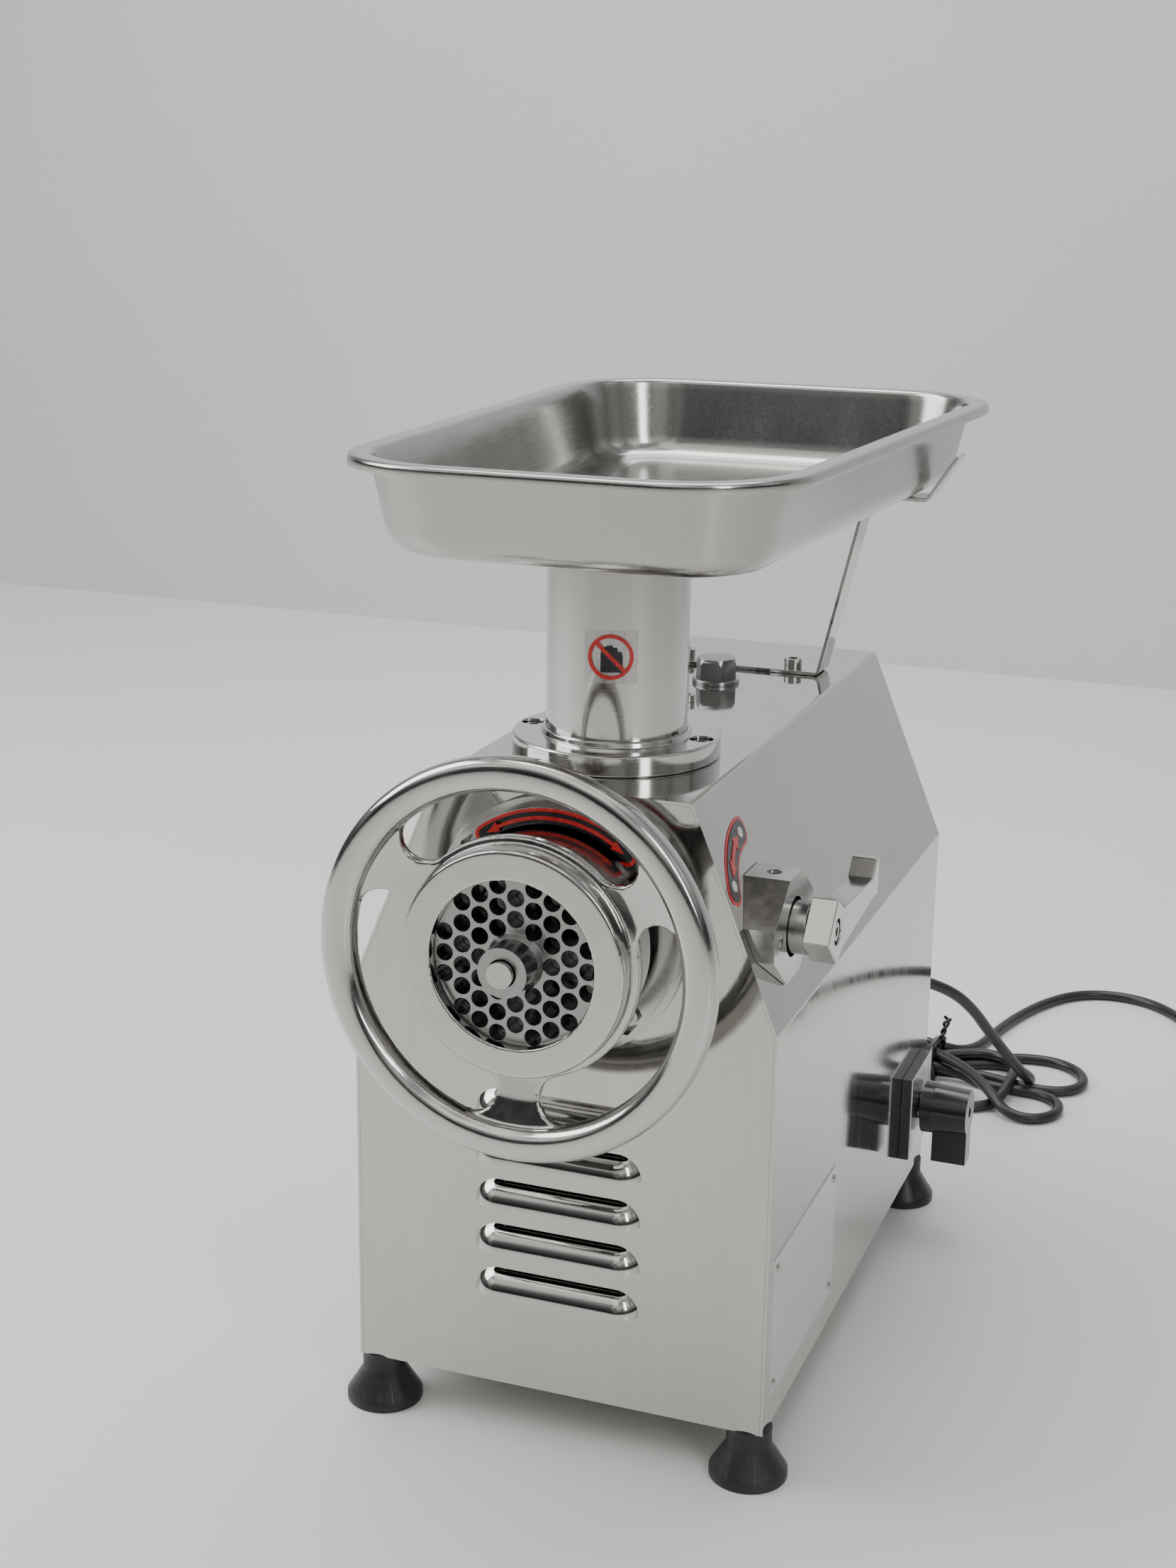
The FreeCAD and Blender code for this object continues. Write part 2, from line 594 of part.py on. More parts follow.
def pan(offset):
    """The tray's tapered bowl, closed at the top, made smaller all round by an offset."""
    floor_z = D.tray_floor_z + offset
    inset = D.rim_flat + offset
    sides = plan_block(inset + D.tray_draft, inset, floor_z, D.rim_z, D.tray_corner - offset)
    return fillet(sides, D.tray_fillet - offset, lambda e: e.BoundBox.ZMax < floor_z + 0.01)


def tray():
    gauge = D.tray_gauge
    low = D.rim_z - D.rim_drop
    outer = plan_block(0, 0, low, D.rim_z, D.rim_corner)
    under = plan_block(gauge, gauge, low, D.rim_z - gauge, D.rim_corner - gauge)
    spigot = cylinder("dims.spigot_radius", "dims.spigot_drop + 1",
                      (0, D.neck_y, D.tray_floor_z - D.spigot_drop))
    lip = cut(outer, [under])
    bore_reach = 30
    through = cylinder("dims.throat_radius", 2 * bore_reach, (0, D.neck_y, D.tray_floor_z - bore_reach))
    mouth_inset = D.rim_flat + gauge + 0.3
    mouth_floor = D.rim_z - gauge - 0.1
    mouth = plan_block(mouth_inset, mouth_inset, mouth_floor, D.rim_z + 10, D.tray_corner)
    node("tray", cut(fuse([lip, pan(0.0), spigot]), [fuse([pan(gauge), mouth]), through]))


def strip_outline(path, thickness):
    """Corners of a strip of constant thickness whose lower face follows a bent path."""
    def unit(a, b):
        step = Vector(b[0] - a[0], b[1] - a[1], 0)
        return step.normalize()
    upper = []
    for index, point in enumerate(path):
        before = unit(path[index - 1], point) if index else None
        after = unit(point, path[index + 1]) if index < len(path) - 1 else None
        before = before or after
        after = after or before
        normals = [Vector(-way.y, way.x, 0) for way in (before, after)]
        middle = (normals[0] + normals[1]).normalize()
        reach = thickness / middle.dot(normals[0])
        upper.append((point[0] + middle.x * reach, point[1] + middle.y * reach))
    return list(path) + upper[::-1]


def tray_bracket():
    floor = D.tray_floor_z - D.strip - 0.4
    right = [(D.bracket_foot, D.deck_z), (D.bracket_top_x, floor), (D.bracket_lip_x, floor),
             (D.bracket_tip_x, floor + D.bracket_lip_rise)]
    left = [(-x, z) for x, z in reversed(right)]
    outline = strip_outline(left + right, D.strip)
    wire = Part.makePolygon([Vector(x, 0, z) for x, z in outline + outline[:1]])
    strip = Part.Face(wire).extrude(Vector(0, D.strip_width, 0))
    bent = shaped(strip, (0, D.bracket_y - D.strip_width / 2, 0))
    holes = []
    screws = []
    for side in (-1, 1):
        at = (side * D.bracket_screw_x, D.bracket_y, D.deck_z)
        holes.append(cylinder(2.6, 10, at))
        seat = (at[0], at[1], D.deck_z + D.strip)
        screws.append(socket_screw(seat, "-Z", 4.9, 2.5, 14))
    node("tray_bracket", cut(bent, holes))
    node("bracket_screws", group(screws))


def deck_fittings():
    washer = turned([(9.1, 0), ("dims.washer_radius", 0), ("dims.washer_radius", "dims.washer_depth - 0.6"),
                     ("dims.washer_radius - 0.6", "dims.washer_depth"), (9.1, "dims.washer_depth")],
                    (0, D.plug_y, D.deck_z))
    node("plug_washer", washer)
    top = D.deck_z + D.washer_depth
    head = hexagon("dims.plug_flats", "dims.plug_head", (0, D.plug_y, top))
    crown = cone("dims.plug_flats * 0.72", "dims.plug_flats * 0.5", "dims.plug_head + 1.2",
                 (0, D.plug_y, top - 0.001))
    stem = cylinder(9, "dims.washer_depth + 6", (0, D.plug_y, D.deck_z - 6))
    node("filler_plug", fuse([common(head, crown), stem]))
    node("deck_screw", socket_screw((0, D.deck_screw_y, D.deck_z), "-Z", 3.8, 2.0, 8))


# ---------------------------------------------------------------- head clamp

def clamp():
    start = 44.0
    block = padded("YZ_Plane", octagon("0"), f"dims.clamp_end - {start}", at=(start, D.clamp_y, D.head_z))
    saddle = cylinder("dims.housing_radius", 100, (0, D.clamp_y - 50, D.head_z), "Y")
    bore = cylinder("dims.clamp_bore", 80, (40, D.clamp_y, D.head_z), "X")
    top = (89.9, D.clamp_y, D.head_z + D.clamp_half_z)
    ends = [(D.clamp_end, D.clamp_y + side * 22.5, D.head_z) for side in (-1, 1)]
    holes = [cylinder(3.6, 8, (top[0], top[1], top[2] - 7))]
    screws = [set_screw((top[0], top[1], top[2] - 7), "Z")]
    for x, y, z in ends:
        holes.append(cylinder(3.6, 12, (x - 7, y, z), "X"))
        screws.append(set_screw((x - 7, y, z), "X"))
    doc.recompute()
    node("clamp_block", cut(block, [saddle, bore] + holes))
    node("clamp_set_screws", group(screws))
    shaft = cylinder("dims.shaft_radius", "dims.lever_start - 44.2", (44.2, D.clamp_y, D.head_z), "X")
    thread = cylinder(3.1, 16, (D.lever_start - 15, D.clamp_y, D.head_z), "X")
    node("clamp_shaft", cut(shaft, [thread]))


def set_screw(at, along):
    body = cylinder(3.6, 6, at, along)
    start = Vector(*at) + AXES[along] * 3
    return cut(body, [hexagon(3.6, 5, tuple(start), along)])


def clamp_lever():
    """A square hub turned on its corner, with an arm that ends in a turned-up tip."""
    tip = "dims.lever_length"
    side = [(-17, -1.5), (0, -16), (10, -11), (f"{tip} - 11", -5), (tip, -5.5), (tip, 13.5),
            (f"{tip} - 5", 13.5), (f"{tip} - 12", 5.5), (14, 8.5), (11, 8), (-1.5, 16)]
    arm = padded("YZ_Plane", side, "dims.lever_width", at=(D.lever_start, D.clamp_y, D.head_z))
    end = D.lever_start + D.lever_width
    tools = [cylinder(3.1, 40, (D.lever_start - 5, D.clamp_y, D.head_z), "X"),
             cylinder(6.2, 10, (end - 5, D.clamp_y, D.head_z), "X")]
    node("clamp_lever", cut(arm, tools))
    node("lever_screw", socket_screw((end - 5, D.clamp_y, D.head_z), "-X", 4.4, 3.0, 20))


# ---------------------------------------------------------------- rotary switch

def switch():
    y, z = D.switch_y, D.switch_z
    base_at = (SIDE, y, z - D.switch_plate / 2)
    plate = "dims.switch_plate"
    base = box("dims.switch_base", plate, plate, (SIDE + D.switch_base / 2, y, base_at[2]))
    face_x = SIDE + D.switch_base
    face = box("dims.switch_face", plate, plate, (face_x + D.switch_face / 2, y, base_at[2]))
    hole = cylinder("dims.spindle + 3.5", 30, (SIDE - 5, y, z), "X")
    node("switch_base", cut(base, [hole]))
    node("switch_faceplate", cut(face, [cylinder("dims.spindle + 3.5", 30, (SIDE - 5, y, z), "X")]))
    inner = box(50, 42, 42, (SIDE - D.gauge - 25, y, z - 21))
    bore = cylinder("dims.spindle + 0.05", 40, (SIDE - 25, y, z), "X")
    neck = cylinder("dims.spindle + 3", "dims.gauge + dims.switch_base", (SIDE - D.gauge, y, z), "X")
    node("switch_body", cut(fuse([inner, neck]), [bore]))
    collar = cylinder("dims.knob_radius + 0.4", "dims.knob_start - dims.collar_start",
                      (D.collar_start, y, z), "X")
    crown = cone("dims.knob_radius", "dims.knob_radius - 1.4", "dims.knob_end - dims.knob_start",
                 (D.knob_start, y, z), "X")
    pointer = box("dims.knob_end - dims.knob_start", "dims.pointer_width", "dims.pointer_length",
                  ((D.knob_start + D.knob_end) / 2, y, z - D.pointer_length))
    spindle = cylinder("dims.spindle", "dims.collar_start - dims.body_width / 2 + 21",
                       (SIDE - 21, y, z), "X")
    neck = cylinder("2 * dims.spindle", 2, (D.collar_start - 2, y, z), "X")
    recess = cylinder(3.2, 6, (D.knob_end - 5, y, z), "X")
    node("switch_knob", cut(fuse([collar, crown, pointer, spindle, neck]), [recess]))
    node("knob_screw", set_screw_small((D.knob_end - 5, y, z)))


def set_screw_small(at):
    return cut(cylinder(3.0, 1.6, at, "X"), [box(1.5, 1, 8, (at[0] + 1.6, at[1], at[2] - 4))])


# ---------------------------------------------------------------- gear train and motor

def gear_wire(teeth, module, phase):
    """The outline of an involute gear in XY; phase turns it, in tooth pitches."""
    pressure = math.radians(20)
    pitch_radius = module * teeth / 2
    base = pitch_radius * math.cos(pressure)
    tip = pitch_radius + module
    root = pitch_radius - 1.25 * module
    involute = lambda angle: math.tan(angle) - angle
    half_pitch = (math.pi * module / 2 - D.gear_play) / 2 / pitch_radius + involute(pressure)

    def half_angle(radius):
        if radius <= base:
            return half_pitch
        return half_pitch - involute(math.acos(base / radius))

    def at(radius, angle):
        return Vector(radius * math.cos(angle), radius * math.sin(angle), 0)

    start = max(base, root)
    radii = [start + (tip - start) * step / 4 for step in range(5)]
    edges = []
    for tooth in range(teeth):
        middle = (tooth + phase) * 2 * math.pi / teeth
        rising = [at(radius, middle - half_angle(radius)) for radius in radii]
        falling = [at(radius, middle + half_angle(radius)) for radius in reversed(radii)]
        foot = half_angle(start)
        following = middle + 2 * math.pi / teeth
        if root < base:
            edges.append(Part.LineSegment(at(root, middle - foot), rising[0]).toShape())
        curve = Part.BSplineCurve()
        curve.interpolate(rising)
        edges.append(curve.toShape())
        edges.append(Part.Arc(rising[-1], at(tip, middle), falling[0]).toShape())
        curve = Part.BSplineCurve()
        curve.interpolate(falling)
        edges.append(curve.toShape())
        if root < base:
            edges.append(Part.LineSegment(falling[-1], at(root, middle + foot)).toShape())
        gap = (middle + following) / 2
        edges.append(Part.Arc(at(root, middle + foot), at(root, gap), at(root, following - foot)).toShape())
    return Part.Wire(edges)


def gear(teeth, module, width, phase, at):
    solid = Part.Face(gear_wire(teeth, module, phase)).extrude(Vector(0, 0, width))
    return shaped(solid, at, "Y")


STAGE_ONE_Y = 27.0
STAGE_TWO_Y = 51.0
QUARTER = 0.25


def upward_phase(teeth, tooth_up):
    """The phase that puts a tooth, or a gap, on the line towards +Z."""
    pitches = teeth * QUARTER
    return pitches if tooth_up else pitches + 0.5


def gear_train():
    out_y = STAGE_TWO_Y
    shaft_end = D.case_back + D.cover - 2
    shaft = cylinder("dims.shaft_output", shaft_end + 52, (0, -52, D.head_z), "Y")
    drive = box(14, 15, 14, (0, -58.5, D.head_z - 7))
    node("output_shaft", fuse([shaft, drive]))
    big = gear(44, 2.5, D.gear_two_width, upward_phase(44, True), (0, out_y, D.head_z))
    node("output_gear", cut(big, [cylinder("dims.shaft_output", 60, (0, 30, D.head_z), "Y")]))
    small = gear(16, 2.5, D.gear_two_width, upward_phase(16, False), (0, out_y, D.cluster_z))
    wide = gear(54, 1.75, D.gear_one_width, upward_phase(54, True), (0, STAGE_ONE_Y, D.cluster_z))
    link = cylinder(14, STAGE_TWO_Y - STAGE_ONE_Y, (0, STAGE_ONE_Y, D.cluster_z), "Y")
    shaft = cylinder("dims.shaft_cluster", 75, (0, 18.5, D.cluster_z), "Y")
    node("cluster_gear", fuse([small, wide, link, shaft]))
    pinion = gear(18, 1.75, D.gear_one_width + 2, upward_phase(18, False), (0, STAGE_ONE_Y - 1, D.motor_z))
    node("motor_pinion", cut(pinion, [cylinder("dims.shaft_motor", 60, (0, 10, D.motor_z), "Y")]))


def bearing(outer, inner, width, y, z):
    """Inner and outer rings of a ball bearing with its balls, as one group of solids."""
    middle = (outer + inner) / 2
    thick = (outer - inner) / 4
    rings = [turned([(inner, 0), (inner + thick, 0), (inner + thick, width), (inner, width)],
                    (0, y, z), "Y"),
             turned([(outer - thick, 0), (outer, 0), (outer, width), (outer - thick, width)],
                    (0, y, z), "Y")]
    ball = min(thick * 0.95, width / 2.4)
    for index in range(8):
        turn = math.radians(index * 45)
        spot = (middle * math.cos(turn), y + width / 2, z + middle * math.sin(turn))
        rings.append(sphere(ball, spot))
    return rings


def case_section(inset):
    """The gear case's outline, which follows the body's shoulders, moved in by a thickness."""
    low = f"dims.case_half - ({inset})"
    high = f"dims.case_top_half - ({inset})"
    floor = f"dims.case_floor + ({inset})"
    bend = f"dims.case_bend - ({inset}) * 0.2"
    top = f"dims.deck_z - dims.gauge - ({inset})"
    return [(f"-({low})", floor), (low, floor), (low, bend), (high, top),
            (f"-({high})", top), (f"-({low})", bend)]


def cover_spots():
    half = D.case_half - 6
    return [(side * x, z) for side in (-1, 1)
            for x, z in ((half, D.case_floor + 8), (half, 205), (D.case_top_half - 8, 322))]


def gear_case():
    deep = D.case_back - D.case_front
    blank = padded("XZ_Plane", case_section("0"), deep)
    put(blank, (0, D.case_back, 0))
    room = padded("XZ_Plane", case_section("dims.case_wall"), deep)
    put(room, (0, D.case_back + D.case_wall, 0))
    boss = cylinder(34, 10, (0, D.case_front - 9, D.head_z), "Y")
    pads = [common(cylinder(7, deep - 1, (x, D.case_front + 1, z), "Y"), padded_copy(deep))
            for x, z in cover_spots()]
    tools = [cylinder(24, 40, (0, D.case_front - 6, D.head_z), "Y"),
             cylinder(16, 4, (0, D.case_front - 9, D.head_z), "Y"),
             cylinder(16, 20, (0, D.case_front, D.cluster_z), "Y"),
             cylinder(10, 30, (0, 10, D.motor_z), "Y"),
             cylinder(9.05, 20, (0, D.plug_y, D.deck_z - 15))]
    taps = [cylinder(2.0, 10, (x, D.case_back - 9, z), "Y") for x, z in cover_spots()]
    node("gear_case", cut(fuse([cut(blank, [room]), boss] + pads), tools + taps))
    cover = padded("XZ_Plane", case_section("0.5"), "dims.cover")
    put(cover, (0, D.case_back + D.cover, 0))
    holes = [cylinder(24, 10, (0, D.case_back - 1, D.head_z), "Y"),
             cylinder(16, 10, (0, D.case_back - 1, D.cluster_z), "Y")]
    screws = []
    for x, z in cover_spots():
        holes.append(cylinder(2.2, 10, (x, D.case_back - 1, z), "Y"))
        screws.append(socket_screw((x, D.case_back + D.cover, z), "-Y", 3.6, 2.0, 14))
    node("gear_cover", cut(cover, holes))
    node("cover_screws", group(screws))


def padded_copy(deep):
    """The case's full outline again, which trims the screw pads."""
    made = padded("XZ_Plane", case_section("0"), deep)
    return put(made, (0, D.case_back, 0))


def motor():
    z = D.motor_z
    front, back = -100.0, D.case_front
    bell = 6.0
    deep = back - front
    node("motor_housing", turned([
        (16, 0), ("dims.motor_radius", 0), ("dims.motor_radius", deep), (16, deep),
        (16, deep - bell), ("dims.motor_radius - 3", deep - bell), ("dims.motor_radius - 3", bell),
        (16, bell)], (0, front, z), "Y"))
    stack = turned([(34, 0), ("dims.motor_radius - 3", 0), ("dims.motor_radius - 3", 60), (34, 60)],
                   (0, -72, z), "Y")
    node("motor_stator", stack)
    node("motor_rotor", fuse([cylinder(33.4, 60, (0, -72, z), "Y"),
                              cylinder("dims.shaft_motor", 176, (0, -128, z), "Y")]))
    inner = D.shaft_motor + D.running_fit
    races = bearing(16, inner, bell, front, z) + bearing(16, inner, bell, back - bell, z)
    node("motor_bearings", group(races))
    hub = cylinder(12, 14, (0, -124, z), "Y")
    blades = []
    for index in range(8):
        turn = Rotation(AXES["Y"], index * 45)
        blades.append(box(2, 14, 46, (0, -117, z), turn))
    hole = cylinder("dims.shaft_motor", 60, (0, -140, z), "Y")
    node("cooling_fan", cut(fuse([hub] + blades), [hole]))
    cradle = box(90, 60, z - D.floor_gap - D.gauge - 20, (0, -42, D.floor_gap + D.gauge))
    node("motor_mount", cut(cradle, [cylinder("dims.motor_radius", 80, (0, -82, z), "Y")]))
    can = cylinder(17, 80, (82, -70, D.floor_gap + D.gauge + 17), "Y")
    node("capacitor", can)


def bearings():
    fit = D.running_fit
    rear = D.case_back
    output = bearing(24, D.shaft_output + fit, 9, D.case_front - 6, D.head_z)
    output += bearing(24, D.shaft_output + fit, 6, rear, D.head_z)
    node("output_bearings", group(output))
    cluster = bearing(16, D.shaft_cluster + fit, 5, D.case_front, D.cluster_z)
    cluster += bearing(16, D.shaft_cluster + fit, 6, rear, D.cluster_z)
    node("cluster_bearings", group(cluster))
    seal = turned([(D.shaft_output + fit, 0), (16, 0), (16, 2), (D.shaft_output + fit, 2)],
                  (0, D.case_front - 8, D.head_z), "Y")
    node("oil_seal", seal)


# ---------------------------------------------------------------- mains cord

LIE = D.cord / 2
CORD_DROP = [(70, 206, 118), (74, 227, 116), (87, 248, 107), (102, 266, 95), (112, 282, 79),
             (119, 297, 61), (127, 312, 43), (134, 327, 27), (139, 341, 14)]
CORD_TAIL = [(70, 378, 9), (86, 391, 5), (95, 407, LIE), (100, 433, LIE), (106, 461, LIE),
             (115, 489, LIE), (126, 513, LIE), (140, 533, LIE), (159, 544, LIE), (181, 545, LIE),
             (201, 537, LIE), (218, 521, LIE), (234, 499, LIE), (248, 473, LIE), (256, 445, LIE)]
HANK = [(-22, 342), (-8, 322), (20, 320), (62, 330), (74, 302), (92, 291), (150, 288), (168, 300),
        (178, 340), (181, 378), (164, 404), (126, 406), (88, 398), (44, 404), (6, 404), (-22, 376)]


def tube_path(points, label):
    """Straight runs joined by tangent arcs through a route's points."""
    spots = [Vector(*point) for point in points]
    edges = []
    start = spots[0]
    radii = []
    for index in range(1, len(spots) - 1):
        corner = spots[index]
        back = spots[index - 1] - corner
        ahead = spots[index + 1] - corner
        reach = 0.45 * min(back.Length, ahead.Length)
        back.normalize()
        ahead.normalize()
        half_turn = (math.pi - back.getAngle(ahead)) / 2
        radius = reach / math.tan(half_turn)
        radii.append(round(radius, 1))
        enter = corner + back * reach
        leave = corner + ahead * reach
        bisector = (back + ahead).normalize()
        middle = corner + bisector * (radius / math.cos(half_turn) - radius)
        edges.append(Part.LineSegment(start, enter).toShape())
        edges.append(Part.Arc(enter, middle, leave).toShape())
        start = leave
    edges.append(Part.LineSegment(start, spots[-1]).toShape())
    print(label, "bend radii in mm:", radii)
    return Part.Wire(edges)


def cord_tube(points, label):
    path = tube_path(points, label)
    first = path.Edges[0]
    ring = Part.Circle(Vector(*points[0]), first.tangentAt(first.FirstParameter), D.cord / 2)
    solid = path.makePipeShell([Part.Wire(ring.toShape())], True, False)
    ideal = math.pi * D.cord ** 2 / 4 * path.Length
    print(label, "length", round(path.Length, 1), "volume ratio", round(solid.Volume / ideal, 4))
    return shaped(solid)


def mains_cord():
    x, z = D.gland_x, D.gland_z
    gland = turned([(3.6, -6), ("dims.gland_radius", -6), ("dims.gland_radius", 1.5), (13, 1.5),
                    (13, 6), (8.4, 8), (5.2, 36), (3.6, 36)], (x, BACK, z), "Y")
    node("cord_gland", gland)
    node("power_cord", cord_tube(CORD_DROP, "power_cord"))
    node("cord_tail", cord_tube(CORD_TAIL, "cord_tail"))
    hank = fillet(padded("XY_Plane", HANK, "3.2 * dims.cord"), 6, runs_along(AXES["Z"]))
    node("cord_hank", hank)
    plug_body()


def plug_body():
    """A round-cornered plug lying on the floor, its pins pointing on along the cord."""
    tail = Vector(*CORD_TAIL[-1])
    way = (tail - Vector(*CORD_TAIL[-2])).normalize()
    turn = Rotation(AXES["Y"], way)
    grip = box(28, 40, 20, (0, 0, 0))
    grip.Placement = FreeCAD.Placement(Vector(-14, 2, -LIE), Rotation())
    body = fillet(grip, 5, runs_along(AXES["Y"]))
    sleeve = cone(3.6, 6.5, 12, (0, -8, 0), "Y")
    pins = [cylinder(2.4, 19, (side * 9.5, 42, 6), "Y") for side in (-1, 1)]
    bore = cylinder(3.6, 6, (0, -8, 0), "Y")
    made = cut(fuse([body, sleeve]), [bore])
    prongs = group(pins)
    ahead = FreeCAD.Placement(Vector(0, 6, 0), Rotation())
    for obj in (made, prongs):
        obj.Placement = FreeCAD.Placement(tail, turn).multiply(ahead)
    node("plug_body", made)
    node("plug_pins", prongs)


# ---------------------------------------------------------------- build, check and write

BUILDERS = (body_shell, front_panel, rear_panel, bottom_plate, feet, nameplate, head_housing, barrel,
            cutting_plate, knife, auger, ring_nut, feed_neck, tray, tray_bracket, deck_fittings, clamp,
            clamp_lever, switch, gear_train, gear_case, motor, bearings, mains_cord)

for build in BUILDERS:
    build()
doc.recompute()

faults = [f"{obj.Label}: {obj.State}" for obj in doc.Objects
          if "Invalid" in obj.State or "Error" in obj.State]
for name, obj in parts.items():
    if obj.Shape.isNull() or not obj.Shape.isValid():
        faults.append(f"{name}: bad shape")
if faults:
    raise SystemExit("\n".join(faults))

os.makedirs("parts", exist_ok=True)
for name, obj in parts.items():
    obj.Shape.exportStep(f"parts/{name}.step")
print(len(parts), "pieces written")
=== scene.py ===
import json
import math

import bmesh
import bpy
from mathutils import Matrix, Vector

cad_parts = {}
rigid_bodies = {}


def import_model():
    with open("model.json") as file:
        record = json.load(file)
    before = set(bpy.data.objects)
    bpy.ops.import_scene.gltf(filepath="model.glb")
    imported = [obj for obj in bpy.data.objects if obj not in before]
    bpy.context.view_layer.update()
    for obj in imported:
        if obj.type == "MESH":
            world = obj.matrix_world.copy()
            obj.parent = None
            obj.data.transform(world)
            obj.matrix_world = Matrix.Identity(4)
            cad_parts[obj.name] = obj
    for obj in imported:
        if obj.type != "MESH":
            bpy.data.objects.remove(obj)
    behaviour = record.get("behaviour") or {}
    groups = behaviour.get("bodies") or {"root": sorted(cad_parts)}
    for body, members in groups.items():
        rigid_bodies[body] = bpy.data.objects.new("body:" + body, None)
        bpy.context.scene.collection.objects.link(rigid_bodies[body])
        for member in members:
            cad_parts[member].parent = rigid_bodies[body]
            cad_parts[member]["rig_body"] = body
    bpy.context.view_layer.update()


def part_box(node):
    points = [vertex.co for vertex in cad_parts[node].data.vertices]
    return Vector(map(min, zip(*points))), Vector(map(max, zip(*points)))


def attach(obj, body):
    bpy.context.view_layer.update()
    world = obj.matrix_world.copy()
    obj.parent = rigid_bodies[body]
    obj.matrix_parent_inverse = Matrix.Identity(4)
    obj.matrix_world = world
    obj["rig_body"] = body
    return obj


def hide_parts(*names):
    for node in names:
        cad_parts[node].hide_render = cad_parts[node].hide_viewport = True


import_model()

# Looks of the electric meat grinder: polished steel body and head, black rubber feet,
# black switch and mains cord, three generic stickers. Everything is in metres.

MM = 0.001
HEAD_Z = 0.2684
FRONT_Y = -0.170


# ------------------------------------------------------------------ camera

def make_camera():
    azimuth, elevation, roll = (math.radians(a) for a in (20.37, 15.78, 0.78))
    forward = Vector((-math.sin(azimuth) * math.cos(elevation),
                      math.cos(azimuth) * math.cos(elevation), -math.sin(elevation)))
    level = Vector((math.cos(azimuth), math.sin(azimuth), 0))
    upward = level.cross(forward)
    right = level * math.cos(roll) + upward * math.sin(roll)
    up = upward * math.cos(roll) - level * math.sin(roll)
    data = bpy.data.cameras.new("view")
    data.sensor_fit = "VERTICAL"
    data.sensor_height = 36.0
    data.lens = 52.33
    camera = bpy.data.objects.new("view", data)
    turn = Matrix((right, up, -forward)).transposed()
    camera.matrix_world = Matrix.Translation((0.35535, -1.09288, 0.61491)) @ turn.to_4x4()
    bpy.context.scene.collection.objects.link(camera)
    bpy.context.scene.camera = camera


# ------------------------------------------------------------------ materials

class Nodes:
    """A material's node tree, built with short calls."""

    def __init__(self, name):
        self.material = bpy.data.materials.new(name)
        self.material.use_nodes = True
        self.tree = self.material.node_tree
        self.shader = self.tree.nodes["Principled BSDF"]
        self.where = self.add("ShaderNodeTexCoord").outputs["Object"]

    def add(self, kind, **settings):
        node = self.tree.nodes.new(kind)
        for key, value in settings.items():
            setattr(node, key, value)
        return node

    def link(self, source, target):
        self.tree.links.new(source, target)

    def stretched(self, scale, turn=(0, 0, 0)):
        mapping = self.add("ShaderNodeMapping")
        mapping.inputs["Scale"].default_value = scale
        mapping.inputs["Rotation"].default_value = turn
        self.link(self.where, mapping.inputs["Vector"])
        return mapping.outputs["Vector"]

    def noise(self, scale, detail=3.0, where=None, rough=0.5):
        node = self.add("ShaderNodeTexNoise")
        node.inputs["Scale"].default_value = scale
        node.inputs["Detail"].default_value = detail
        node.inputs["Roughness"].default_value = rough
        self.link(where or self.where, node.inputs["Vector"])
        return node.outputs["Fac"]

    def ramp(self, source, low, high, start=0.0, end=1.0):
        """Spreads source between two colours or two grey levels."""
        node = self.add("ShaderNodeValToRGB")
        low, high = (c if isinstance(c, tuple) else (c, c, c) for c in (low, high))
        first, last = node.color_ramp.elements
        first.position, first.color = start, (*low, 1)
        last.position, last.color = end, (*high, 1)
        self.link(source, node.inputs["Fac"])
        return node.outputs["Color"]

    def blend(self, first, second, factor, mode="MIX"):
        node = self.add("ShaderNodeMix", data_type="RGBA", blend_type=mode)
        if isinstance(factor, float):
            node.inputs["Factor"].default_value = factor
        else:
            self.link(factor, node.inputs["Factor"])
        for socket, value in ((node.inputs["A"], first), (node.inputs["B"], second)):
            if isinstance(value, tuple):
                socket.default_value = (*value, 1)
            else:
                self.link(value, socket)
        return node.outputs["Result"]

    def maths(self, operation, first, second):
        node = self.add("ShaderNodeMath", operation=operation)
        for socket, value in zip(node.inputs, (first, second)):
            if isinstance(value, (int, float)):
                socket.default_value = value
            else:
                self.link(value, socket)
        return node.outputs["Value"]

    def bump(self, height, strength, distance):
        node = self.add("ShaderNodeBump")
        node.inputs["Strength"].default_value = strength
        node.inputs["Distance"].default_value = distance
        self.link(height, node.inputs["Height"])
        self.link(node.outputs["Normal"], self.shader.inputs["Normal"])

    def set(self, **sockets):
        for name, value in sockets.items():
            socket = self.shader.inputs[name.replace("_", " ")]
            if isinstance(value, (int, float, tuple)):
                socket.default_value = (*value, 1) if isinstance(value, tuple) else value
            else:
                self.link(value, socket)


